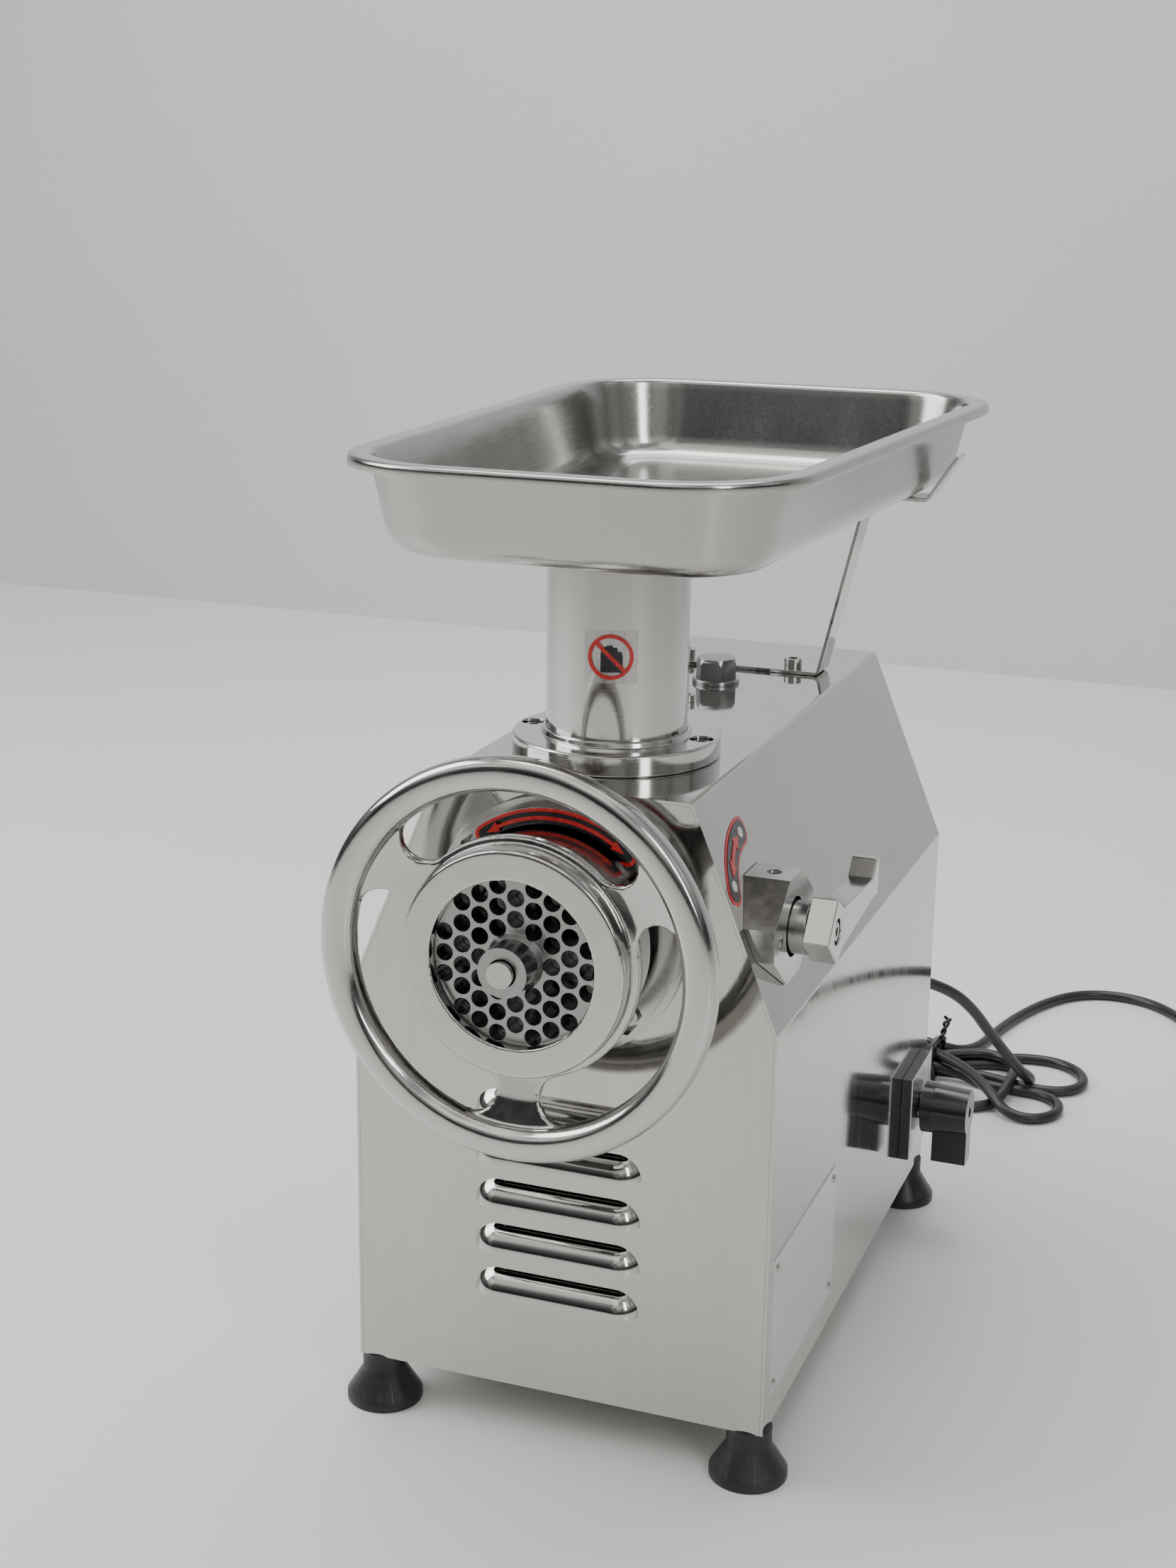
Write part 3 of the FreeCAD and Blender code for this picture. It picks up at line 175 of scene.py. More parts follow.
def polished_steel(name, tint, low, high, grain=(900, 900, 14), bump=0.03, ripple=0.0):
    """Polished sheet or casting: fine polishing lines, faint cloudy patches, slow ripples."""
    m = Nodes(name)
    lines = m.noise(1.0, 4.0, m.stretched(grain), 0.65)
    clouds = m.noise(9.0, 4.0)
    smears = m.noise(34.0, 3.0, m.stretched((1, 1, 0.35)))
    tone = m.blend(m.ramp(clouds, tuple(c * 0.93 for c in tint), tint, 0.3, 0.7),
                   m.ramp(lines, 0.9, 1.0, 0.3, 0.7), 0.6, "MULTIPLY")
    rough = m.blend(m.ramp(smears, low, high, 0.35, 0.75), m.ramp(lines, low, high, 0.35, 0.7), 0.5)
    m.set(Base_Color=tone, Roughness=rough, Metallic=1.0)
    height = lines
    if ripple:
        waves = m.maths("MULTIPLY", m.noise(6.0, 1.0), ripple)
        height = m.maths("ADD", m.maths("MULTIPLY", lines, bump), waves)
        m.bump(height, 1.0, 0.001)
    else:
        m.bump(height, bump, 0.0002)
    return m.material


def moulded(name, tint, low, high, coat=0.0, grain=700.0):
    """Moulded plastic or rubber: fine grain, faint dust and rubbed patches."""
    m = Nodes(name)
    dust = m.noise(22.0, 5.0)
    fine = m.noise(grain, 2.0)
    paler = tuple(c * 1.9 + 0.008 for c in tint)
    m.set(Base_Color=m.ramp(dust, tint, paler, 0.45, 0.8), Roughness=m.ramp(dust, low, high, 0.35, 0.7),
          Coat_Weight=coat, Coat_Roughness=0.12)
    m.bump(fine, 0.12, 0.0002)
    return m.material


def make_materials():
    steel = (0.58, 0.575, 0.555)
    return {
        "sheet": polished_steel("sheet_steel", steel, 0.045, 0.11, (200, 200, 7), 0.012, 0.05),
        "tray": polished_steel("tray_steel", (0.46, 0.455, 0.44), 0.13, 0.26, (700, 30, 700), 0.05),
        "tube": polished_steel("tube_steel", (0.6, 0.595, 0.58), 0.07, 0.16, (40, 40, 900), 0.05),
        "cast": polished_steel("cast_steel", (0.56, 0.555, 0.54), 0.12, 0.25, (160, 160, 160), 0.12),
        "turned": polished_steel("turned_steel", (0.38, 0.375, 0.37), 0.2, 0.38, (60, 900, 60), 0.12),
        "screws": polished_steel("screw_steel", (0.55, 0.55, 0.53), 0.2, 0.38, (500, 500, 500), 0.1),
        "alloy": polished_steel("cast_alloy", (0.6, 0.61, 0.62), 0.35, 0.55, (300, 300, 300), 0.4),
        "plate": polished_steel("plate_alloy", (0.74, 0.75, 0.76), 0.2, 0.32, (20, 900, 900), 0.05),
        "brass": polished_steel("pin_brass", (0.78, 0.6, 0.32), 0.14, 0.25, (300, 300, 300), 0.05),
        "core": polished_steel("motor_core", (0.5, 0.27, 0.13), 0.4, 0.6, (900, 20, 900), 0.4),
        "rubber": moulded("foot_rubber", (0.013, 0.013, 0.014), 0.34, 0.5),
        "plastic": moulded("black_plastic", (0.012, 0.012, 0.013), 0.16, 0.3, 0.3, 900.0),
        "jacket": moulded("cord_jacket", (0.013, 0.013, 0.014), 0.3, 0.42, 0.0, 500.0),
        "paint": moulded("black_paint", (0.02, 0.02, 0.022), 0.4, 0.5),
        "wheel": polished_steel("wheel_steel", (0.58, 0.575, 0.56), 0.09, 0.2, (90, 90, 90), 0.06, 0.08),
        "red": printed("sign_red", (0.62, 0.02, 0.018)),
        "ink": printed("sign_ink", (0.012, 0.012, 0.016)),
        "mark": printed("sign_white", (0.75, 0.75, 0.74)),
        "film": clear_film(),
    }


def printed(name, tint):
    """Ink printed on a glossy sticker, with a faint scuffed grain."""
    m = Nodes(name)
    scuff = m.noise(260.0, 4.0)
    m.set(Base_Color=m.ramp(scuff, tuple(c * 0.8 for c in tint), tint, 0.35, 0.65),
          Roughness=m.ramp(scuff, 0.22, 0.34, 0.35, 0.7), Coat_Weight=0.3, Coat_Roughness=0.1)
    m.bump(scuff, 0.05, 0.0001)
    return m.material


def clear_film():
    """A clear backing film that greys the steel under it a little."""
    m = Nodes("sticker_film")
    scuff = m.noise(200.0, 4.0)
    m.set(Base_Color=m.ramp(scuff, (0.72, 0.73, 0.74), (0.8, 0.8, 0.8), 0.35, 0.65),
          Roughness=m.ramp(scuff, 0.2, 0.3, 0.35, 0.7), Alpha=0.25)
    m.bump(scuff, 0.05, 0.0001)
    return m.material


NODE_LOOKS = {
    "sheet": ("body_shell", "front_panel", "rear_panel", "bottom_plate", "tray_bracket"),
    "tray": ("tray",),
    "tube": ("feed_tube",),
    "cast": ("neck_flange", "head_housing", "ring_nut", "clamp_block", "clamp_lever", "auger"),
    "turned": ("cutting_plate", "barrel", "knife", "output_shaft", "output_gear", "clamp_shaft",
               "cluster_gear", "motor_rotor", "motor_pinion", "output_bearings", "cluster_bearings",
               "motor_bearings", "filler_plug", "plug_washer"),
    "screws": ("foot_screws", "flange_screws", "bracket_screws", "deck_screw", "collar_screws",
               "cover_screws", "clamp_set_screws", "lever_screw", "knob_screw", "nameplate_rivets"),
    "alloy": ("gear_case", "gear_cover", "motor_housing"),
    "plate": ("nameplate", "switch_faceplate"),
    "brass": ("plug_pins",),
    "core": ("motor_stator",),
    "rubber": ("foot_front_left", "foot_front_right", "foot_rear_left", "foot_rear_right", "oil_seal"),
    "plastic": ("switch_body", "switch_base", "switch_knob", "cord_gland", "plug_body",
                "cooling_fan", "capacitor"),
    "jacket": ("power_cord", "cord_tail", "cord_hank"),
    "paint": ("motor_mount",),
}


def dress_nodes(looks):
    for look, names in NODE_LOOKS.items():
        for name in names:
            data = bpy.data.objects[name].data
            data.materials.clear()
            data.materials.append(looks[look])


# ------------------------------------------------------------------ mesh helpers


def piece(name, data, look, body="root", stands_for=()):
    """Links a mesh or curve as a finished piece that rides on a body."""
    obj = bpy.data.objects.new(name, data)
    bpy.context.scene.collection.objects.link(obj)
    data.materials.clear()
    data.materials.append(LOOKS[look])
    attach(obj, body)
    if stands_for:
        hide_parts(*stands_for)
    return obj


def mesh_of(name, points, faces, smooth=True):
    data = bpy.data.meshes.new(name)
    data.from_pydata([tuple(p) for p in points], [], faces)
    build = bmesh.new()
    build.from_mesh(data)
    bmesh.ops.recalc_face_normals(build, faces=build.faces)
    build.to_mesh(data)
    build.free()
    data.polygons.foreach_set("use_smooth", [smooth] * len(data.polygons))
    return data


def settle(obj):
    """Bakes an object's modifiers into its mesh."""
    ready = obj.evaluated_get(bpy.context.evaluated_depsgraph_get())
    data = bpy.data.meshes.new_from_object(ready)
    obj.modifiers.clear()
    obj.data = data
    return data


def bevel(obj, width, segments=2, angle=32.0):
    """Rounds an object's hard edges and keeps its flats flat."""
    cutter = obj.modifiers.new("edge", "BEVEL")
    cutter.width = width
    cutter.segments = segments
    cutter.limit_method = "ANGLE"
    cutter.angle_limit = math.radians(angle)
    cutter.harden_normals = True
    cutter.use_clamp_overlap = True


def soften(node, look, width, segments=2, angle=32.0):
    """Stands a copy of a CAD node with rounded edges in its place."""
    source = bpy.data.objects[node]
    data = source.data.copy()
    build = bmesh.new()
    build.from_mesh(data)
    bmesh.ops.remove_doubles(build, verts=build.verts, dist=2e-6)
    bmesh.ops.dissolve_limit(build, angle_limit=math.radians(0.6), verts=build.verts, edges=build.edges)
    build.to_mesh(data)
    build.free()
    if data.attributes.get("custom_normal"):
        data.attributes.remove(data.attributes["custom_normal"])
    data.polygons.foreach_set("use_smooth", [True] * len(data.polygons))
    made = piece(node + "_finished", data, look, source["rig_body"], (node,))
    bevel(made, width, segments, angle)
    settle(made)
    return made


def rings_to_faces(count, size, closed=False):
    """Quads between rings of the same size, which follow one another."""
    faces = []
    for k in range(count if closed else count - 1):
        low, high = k * size, (k + 1) % count * size
        for i in range(size):
            j = (i + 1) % size
            faces.append((low + i, low + j, high + j, high + i))
    return faces


def lathe(name, profile, centre, axis, segments=96):
    """Turns a closed profile of (radius, distance along the axis) about an axis."""
    along = Vector(axis)
    first = along.orthogonal().normalized()
    second = along.cross(first)
    points = []
    for radius, reach in profile:
        for i in range(segments):
            turn = math.tau * i / segments
            side = first * math.cos(turn) + second * math.sin(turn)
            points.append(Vector(centre) + along * reach + side * radius)
    return mesh_of(name, points, rings_to_faces(len(profile), segments, True))


def arc(centre, radius, start, end, steps):
    """Points on an arc in a plane, from one angle to another in degrees."""
    angles = (math.radians(start + (end - start) * k / steps) for k in range(steps + 1))
    return [(centre[0] + radius * math.cos(a), centre[1] + radius * math.sin(a)) for a in angles]


# ------------------------------------------------------------------ mains cord

CORD = 0.007
DROP = [(70, 206, 118), (74, 227, 116), (87, 248, 107), (102, 266, 95), (112, 282, 79),
        (119, 297, 61), (127, 312, 43), (134, 327, 27), (139, 341, 14)]
TAIL = [(86, 391, 5), (95, 407, 3.5), (100, 433, 3.5), (106, 461, 3.5), (115, 489, 3.5),
        (126, 513, 3.5), (140, 533, 3.5), (159, 544, 3.5), (181, 545, 3.5), (201, 537, 3.5),
        (218, 521, 3.5), (234, 499, 3.5), (248, 473, 3.5), (256, 445, 3.5)]
LOOPS = [
    (141, 356, 5), (135, 371, 3.5), (121, 380, 3.5), (106, 378, 3.5), (91, 370, 3.5), (74, 363, 3.5),
    (54, 356, 3.5), (36, 347, 3.5), (18, 343, 3.5), (3, 352, 3.5), (-2, 369, 3.5), (6, 385, 3.5),
    (23, 391, 3.5), (40, 385, 3.5), (56, 376, 3.5), (74, 371, 3.5), (92, 378, 3.5), (112, 391, 3.5),
    (132, 399, 3.5), (152, 399, 3.5), (168, 388, 3.5), (175, 370, 3.5), (169, 353, 3.5),
    (153, 346, 3.5), (136, 348, 3.5), (116, 355, 3.5), (96, 357, 3.5), (74, 355, 3.5), (54, 348, 3.5),
    (36, 338, 3.5), (18, 335, 3.5), (1, 344, 4), (-6, 360, 7), (0, 375, 10), (16, 382, 10.5),
    (35, 376, 10.5), (54, 366, 10.5), (72, 362, 10.5), (88, 371, 10.5), (104, 380, 10.5),
    (120, 376, 10.5), (129, 362, 10.5), (129, 344, 10.5), (127, 326, 5), (122, 309, 3.5),
    (108, 299, 3.5), (91, 301, 3.5), (80, 314, 3.5), (78, 331, 3.5), (70, 345, 5), (54, 351, 9),
    (36, 347, 10.5), (20, 343, 11), (5, 349, 12.5), (-1, 364, 14.5), (5, 379, 16), (20, 385, 17),
    (36, 383, 17), (50, 374, 17), (62, 362, 17), (74, 353, 17), (88, 343, 17), (101, 333, 16), (112, 322, 14),
    (122, 310, 11), (134, 297, 5), (151, 295, 3.5), (165, 308, 3.5), (165, 327, 3.5), (152, 339, 3.5),
    (134, 340, 3.5), (119, 340, 3.5), (108, 343, 3.5), (94, 348, 6), (74, 346, 10.5), (54, 340, 10.5),
    (35, 331, 6), (16, 326, 3.5), (-4, 331, 3.5), (-16, 347, 3.5), (-16, 367, 3.5), (-7, 385, 3.5),
    (9, 397, 3.5), (27, 400, 4), (43, 393, 8), (57, 384, 12), (72, 382, 10)]


def cord_curve():
    data = bpy.data.curves.new("mains_cord", "CURVE")
    data.dimensions = "3D"
    data.bevel_depth = CORD / 2
    data.bevel_resolution = 5
    data.resolution_u = 6
    line = data.splines.new("NURBS")
    route = [[c * MM for c in p] for p in DROP + LOOPS + TAIL]
    line.points.add(len(route) - 1)
    for point, place in zip(line.points, route):
        point.co = (*place, 1)
    line.order_u = 3
    line.use_endpoint_u = True
    return data


def cord_tie():
    """A black twist tie round the bundle's waist, with its two twisted ends standing up."""
    centre = Vector((0.074, 0.361, 0.0105))
    steps = 40
    points = []
    for i in range(steps):
        turn = math.tau * i / steps
        lean = 0.0012 * math.sin(2 * turn)
        y = 0.0175 * math.copysign(abs(math.cos(turn)) ** 0.75, math.cos(turn))
        z = 0.0118 * math.copysign(abs(math.sin(turn)) ** 0.75, math.sin(turn))
        for dx, grow in ((-0.0022, 1.0), (0.0022, 1.0), (0.0022, 1.09), (-0.0022, 1.09)):
            low = max(centre.z + z * grow, 0.0004)
            points.append((centre.x + dx + lean, centre.y + y * grow, low))
    band = mesh_of("tie_band", points, rings_to_faces(steps, 4, True))
    piece("tie_band", band, "plastic")
    data = bpy.data.curves.new("tie_ends", "CURVE")
    data.dimensions = "3D"
    data.bevel_depth = 0.0011
    for phase in (0, math.pi):
        line = data.splines.new("NURBS")
        path = []
        for k in range(16):
            along = k / 15
            swirl = phase + along * 9
            spread = 0.0011 + 0.004 * max(0, along - 0.6)
            path.append((centre.x + 0.002 + spread * math.cos(swirl) + along * 0.004,
                         centre.y + 0.004 + spread * math.sin(swirl),
                         centre.z + 0.0118 + along * 0.016))
        line.points.add(len(path) - 1)
        for point, place in zip(line.points, path):
            point.co = (*place, 1)
        line.order_u = 3
        line.use_endpoint_u = True
    piece("tie_ends", data, "plastic")


def cord_gland():
    """A flanged gland with a ribbed strain relief that tapers along the cord."""
    low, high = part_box("cord_gland")
    centre = ((low.x + high.x) / 2, 0.170, (low.z + high.z) / 2)
    profile = [(3.55, -6), (9, -6), (9, 0), (12.4, 0), (13, 0.6), (13, 5.2), (12.2, 6), (9.4, 6.4)]
    for k in range(7):
        start = 8 + k * 3.7
        wide = 8.2 - k * 0.42
        profile += [(wide, start), (wide, start + 1.9), (wide - 1.3, start + 2.3), (wide - 1.3, start + 3.3)]
    profile += [(5.0, 34), (4.4, 36), (3.55, 36)]
    data = lathe("gland", [(r * MM, d * MM) for r, d in profile], centre, (0, 1, 0), 48)
    made = piece("gland", data, "plastic", "root", ("cord_gland",))
    bevel(made, 0.0003, 1, 40)
    settle(made)


def plug():
    """A moulded two-pin plug with finger ribs, at the cord's end."""
    tip = Vector(TAIL[-1]) * MM
    way = (tip - Vector(TAIL[-2]) * MM).normalized()
    side = Vector((way.y, -way.x, 0))
    stations = [(-2, 3.7, 3.7), (4, 4.6, 4.6), (9, 6.0, 5.6), (12, 8.5, 7.0), (15, 12.0, 8.4),
                (19, 13.4, 9.2), (23, 12.4, 8.6), (26, 13.2, 9.1), (29, 12.2, 8.5), (32, 13.1, 9.1),
                (35, 12.2, 8.6), (38, 13.4, 9.4), (44, 13.8, 9.8), (46.4, 13.7, 9.8), (47.4, 12.9, 9.0)]
    count = 40
    points = []
    for reach, wide, tall in stations:
        base = tip + way * reach * MM
        lift = max(tall - 3.5, 0)
        for i in range(count):
            turn = math.tau * i / count
            across = wide * math.copysign(abs(math.cos(turn)) ** 0.55, math.cos(turn))
            upward = tall * math.copysign(abs(math.sin(turn)) ** 0.55, math.sin(turn)) + lift
            points.append(base + side * across * MM + Vector((0, 0, upward * MM)))
    faces = rings_to_faces(len(stations), count)
    faces += [tuple(range(count)), tuple(range(len(points) - count, len(points)))]
    made = piece("plug_moulding", mesh_of("plug_moulding", points, faces), "plastic", "root", ("plug_body",))
    smooth = made.modifiers.new("round", "SUBSURF")
    smooth.levels = smooth.render_levels = 1
    settle(made)
    return made


def make_cord():
    flex = piece("mains_cord", cord_curve(), "jacket", "root", ("power_cord", "cord_hank", "cord_tail"))
    moulding = plug()
    cord_tie()
    cord_gland()


# ------------------------------------------------------------------ tray

def tray_ring(inset, corner, z):
    """Points of a level rounded outline, wider at the rear, moved in by a distance."""
    half_x, half_y, middle_y, taper = 0.1155, 0.2073, -0.0026, 0.09
    reach = half_y - inset
    corners = []
    for side, end in ((1, 1), (-1, 1), (-1, -1), (1, -1)):
        half = half_x * (1 + taper * end * reach / half_y) - inset
        corners.append(Vector((side * half, middle_y + end * reach)))
    bends = []
    for index, spot in enumerate(corners):
        before = (corners[index - 1] - spot).normalized()
        after = (corners[(index + 1) % 4] - spot).normalized()
        half = before.angle(after) / 2
        centre = spot + (before + after).normalized() * corner / math.sin(half)
        start = spot + before * corner / math.tan(half) - centre
        turn = math.pi - 2 * half
        steps = 14
        bend = []
        for k in range(steps + 1):
            way = start.copy()
            way.rotate(Matrix.Rotation(turn * k / steps, 2))
            bend.append(centre + way)
        bends.append(bend)
    points = []
    pieces = 16
    for index, bend in enumerate(bends):
        following = bends[(index + 1) % 4][0]
        points += bend
        points += [bend[-1].lerp(following, k / pieces) for k in range(1, pieces)]
    return [Vector((p.x, p.y, z)) for p in points]


def tray_profile(gauge):
    """(inset from the rim, height under the rim's top) of the pressed sheet, inside face first."""
    inside = [(0.0, 5.2), (0.0, 2.0), (0.25, 1.0), (0.9, 0.3), (1.8, 0.0), (5.0, -0.1), (8.8, 0.0),
              (9.9, 0.35), (10.7, 1.1), (11.2, 2.4), (12.0, 6.0), (17.6, 31.5)]
    inside += [(x, 43.7 - y) for x, y in
               ((18.4, 8.6), (19.8, 5.4), (21.8, 2.7), (24.6, 0.9), (28.0, 0.15), (31.0, 0.0))]
    inside += [(44.0, 43.7), (44.8, 43.5), (45.8, 43.0), (46.6, 42.8), (60.0, 42.8)]
    outside = []
    for inset, drop in reversed(inside):
        wall = 1.0 if 11.0 < inset < 30.0 else 0.0
        shift = -gauge * wall if inset > 11 else gauge * (inset < 1)
        under = drop + gauge * (1 - 0.75 * wall) * (inset > 1.5)
        outside.append((max(inset + shift, 0.0), under))
    return inside, outside


def make_tray():
    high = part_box("tray")[1]
    hole = Vector((0, -0.0975, 0))
    gauge = 1.2
    corner = 60.0
    inside, outside = tray_profile(gauge)
    rings = []

    def sheet_ring(inset, drop):
        return tray_ring(inset * MM, max(corner - inset, 6) * MM, high.z - drop * MM)

    def hole_ring(radius, drop, pattern):
        ring = []
        for p in pattern:
            way = (p - hole)
            way.z = 0
            way.normalize()
            ring.append(Vector((hole.x, hole.y, high.z - drop * MM)) + way * radius * MM)
        return ring

    for inset, drop in inside:
        rings.append(sheet_ring(inset, drop))
    pattern = rings[-1]
    hole_profile = [(37.0, 42.8), (34.0, 42.9), (32.4, 43.4), (31.3, 44.6), (30.9, 46.4), (30.9, 62.9),
                    (31.8, 62.9), (31.8, 47.0), (32.4, 45.6), (33.8, 44.8), (37.0, 44.7)]
    for radius, drop in hole_profile:
        rings.append(hole_ring(radius, drop, pattern))
    for inset, drop in outside:
        rings.append(sheet_ring(inset, drop))
    size = len(pattern)
    points = [p for ring in rings for p in ring]
    data = mesh_of("tray_pressing", points, rings_to_faces(len(rings), size, True))
    made = piece("tray_pressing", data, "tray", "tray", ("tray",))
    weigh = made.modifiers.new("flats", "WEIGHTED_NORMAL")
    weigh.keep_sharp = True
    settle(made)


# ------------------------------------------------------------------ ring nut and handwheel

def kidney(inner, outer, middle, half_angle, near, far):
    """A round-ended slot along a circle about the head's axis, as a closed prism."""
    ring = (inner + outer) / 2
    end = (outer - inner) / 2
    swing = math.degrees(end / ring)
    span = half_angle - swing
    outline = arc((0, 0), outer, middle - span, middle + span, 36)
    tip = middle + span
    centre = (ring * math.cos(math.radians(tip)), ring * math.sin(math.radians(tip)))
    outline += arc(centre, end, tip, tip + 180, 14)[1:-1]
    outline += arc((0, 0), inner, middle + span, middle - span, 36)
    tip = middle - span
    centre = (ring * math.cos(math.radians(tip)), ring * math.sin(math.radians(tip)))
    outline += arc(centre, end, tip + 180, tip + 360, 14)[1:-1]
    points = [(x, -y, HEAD_Z + z) for y in (near, far) for x, z in outline]
    count = len(outline)
    faces = [(i, (i + 1) % count, count + (i + 1) % count, count + i) for i in range(count)]
    faces += [tuple(range(count)), tuple(range(count, 2 * count))]
    return mesh_of("window", points, faces)


def make_handwheel():
    """One casting: the threaded ring, a dished web with three windows, and a rounded rim."""
    centre = (0, FRONT_Y, HEAD_Z)
    forward = (0, -1, 0)
    mm = lambda profile: [(r * MM, d * MM) for r, d in profile]
    web = lathe("web", mm([(50.5, 50.6), (56, 50.4), (66, 51.6), (76, 54.2), (84, 55.5), (84, 51.0),
                           (76, 49.4), (66, 46.6), (56, 44.8), (50.5, 44.4)]), centre, forward, 160)
    web_piece = bpy.data.objects.new("web", web)
    bpy.context.scene.collection.objects.link(web_piece)
    cutters = []
    for middle in (90, 210, 330):
        cutter = bpy.data.objects.new("window", kidney(0.0562, 0.0778, middle, 51.0, 0.19, 0.25))
        bpy.context.scene.collection.objects.link(cutter)
        cutters.append(cutter)
        opening = web_piece.modifiers.new("window", "BOOLEAN")
        opening.operation = "DIFFERENCE"
        opening.solver = "EXACT"
        opening.object = cutter
    settle(web_piece)
    rim = []
    for k in range(28):
        turn = math.tau * k / 28
        across = 7.6 * math.copysign(abs(math.cos(turn)) ** 0.72, math.cos(turn))
        deep = 6.9 * math.copysign(abs(math.sin(turn)) ** 0.8, math.sin(turn))
        rim.append((85.8 + across, 54.6 + deep))
    ledge = [(77.9, 50.6), (82, 49.8), (82, 58.6), (78.8, 58.4), (77.9, 57.4)]
    hub = [(38.7, 60.3), (51.6, 60.3), (52.7, 59.2), (52.7, 48.5), (52.2, 43), (51.0, 38), (50.2, 17.6),
           (49.6, 17.1), (44.1, 17.1), (44.1, 54.4), (38.7, 54.4)]
    build = bmesh.new()
    for data in (web_piece.data, lathe("rim", mm(rim), centre, forward, 240),
                 lathe("ledge", mm(ledge), centre, forward, 240), lathe("hub", mm(hub), centre, forward, 240)):
        build.from_mesh(data)
    casting = bpy.data.meshes.new("handwheel")
    build.to_mesh(casting)
    build.free()
    for obj in [web_piece] + cutters:
        bpy.data.objects.remove(obj)
    made = piece("handwheel", casting, "wheel", "ring", ("ring_nut",))
    skin = made.modifiers.new("skin", "REMESH")
    skin.mode = "VOXEL"
    skin.voxel_size = 0.00075
    skin.use_smooth_shade = True
    flow = made.modifiers.new("flow", "SMOOTH")
    flow.factor = 0.5
    flow.iterations = 9
    data = settle(made)
    data.polygons.foreach_set("use_smooth", [True] * len(data.polygons))


# ------------------------------------------------------------------ tray bracket

def bent_path(corners, radius, steps=7):
    """A line through corners, each one rounded to a bend."""
    places = [Vector(c) for c in corners]
    path = [places[0]]
    for before, corner, after in zip(places, places[1:], places[2:]):
        back = (before - corner).normalized()
        ahead = (after - corner).normalized()
        half = (math.pi - back.angle(ahead)) / 2
        reach = radius * math.tan(half)
        start = corner + back * reach
        end = corner + ahead * reach
        for k in range(steps + 1):
            mix = k / steps
            path.append(start.lerp(corner, mix).lerp(corner.lerp(end, mix), mix))
    return path + [places[-1]]


def make_bracket():
    """One strip of sheet, bent from the deck up to the tray on both sides."""
    low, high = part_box("tray_bracket")
    deck, top = low.z, high.z
    mid = [(47.5, deck / MM + 1), (70.5, 433.6), (103, 433.6), (118.4, top / MM - 0.6)]
    corners = [(-x * MM, z * MM) for x, z in reversed(mid)] + [(x * MM, z * MM) for x, z in mid]
    path = bent_path(corners, 0.0035)
    count = len(path)
    thick = 0.001
    points = []
    for y in (low.y, high.y):
        for side in (-1, 1):
            for k, place in enumerate(path):
                ahead = (path[min(k + 1, count - 1)] - path[max(k - 1, 0)]).normalized()
                normal = Vector((-ahead.y, ahead.x))
                spot = place + normal * thick * side
                points.append((spot.x, y, spot.y))
    faces = []
    for k in range(count - 1):
        a, b, c, d = (row * count + k for row in range(4))
        faces += [(a, a + 1, b + 1, b), (c, c + 1, d + 1, d), (a, a + 1, c + 1, c), (b, b + 1, d + 1, d)]
    for k in (0, count - 1):
        faces.append((k, count + k, 3 * count + k, 2 * count + k))
    made = piece("bracket_strip", mesh_of("bracket_strip", points, faces), "sheet", "root", ("tray_bracket",))
    bevel(made, 0.0004, 2, 50)
    settle(made)


# ------------------------------------------------------------------ stickers and nameplate

def ribbon_outline(inner, outer, start, end, ends=10):
    """A curved band with round ends, as (x, z) points about a centre."""
    ring = (inner + outer) / 2
    half = (outer - inner) / 2
    points = arc((0, 0), outer, start, end, 30)
    tip = (ring * math.cos(math.radians(end)), ring * math.sin(math.radians(end)))
    points += arc(tip, half, end, end + 180, ends)[1:-1]
    points += arc((0, 0), inner, end, start, 30)
    tip = (ring * math.cos(math.radians(start)), ring * math.sin(math.radians(start)))
    points += arc(tip, half, start + 180, start + 360, ends)[1:-1]
    return points


def arrow_outline(inner, outer, start, end, head=7.0):
    """A curved arrow with a head at both ends."""
    ring = (inner + outer) / 2
    wide = (outer - inner) / 2
    points = arc((0, 0), ring + wide * 0.38, start + head, end - head, 20)
    spots = [(ring + wide, end - head), (ring, end), (ring - wide, end - head)]
    points += [(r * math.cos(math.radians(a)), r * math.sin(math.radians(a))) for r, a in spots]
    points += arc((0, 0), ring - wide * 0.38, end - head, start + head, 20)
    spots = [(ring - wide, start + head), (ring, start), (ring + wide, start + head)]
    points += [(r * math.cos(math.radians(a)), r * math.sin(math.radians(a))) for r, a in spots]
    return points


def decal(name, outline, place, look, thick):
    """A thin closed piece from a flat outline; place turns (u, v, height) into a point."""
    count = len(outline)
    flat = bmesh.new()
    ring = [flat.verts.new((u, v, 0)) for u, v in outline]
    flat.faces.new(ring)
    bmesh.ops.triangulate(flat, faces=flat.faces)
    bmesh.ops.subdivide_edges(flat, edges=[e for e in flat.edges if e.calc_length() > 0.006], cuts=3,
                              use_grid_fill=True)
    bmesh.ops.triangulate(flat, faces=flat.faces)
    grown = bmesh.ops.extrude_face_region(flat, geom=flat.faces[:])
    for item in grown["geom"]:
        if isinstance(item, bmesh.types.BMVert):
            item.co.z = thick
    for vertex in flat.verts:
        vertex.co = place(vertex.co.x, vertex.co.y, vertex.co.z)
    bmesh.ops.recalc_face_normals(flat, faces=flat.faces)
    data = bpy.data.meshes.new(name)
    flat.to_mesh(data)
    flat.free()
    return piece(name, data, look)


def scaled(outline, size=MM):
    return [(x * size, z * size) for x, z in outline]


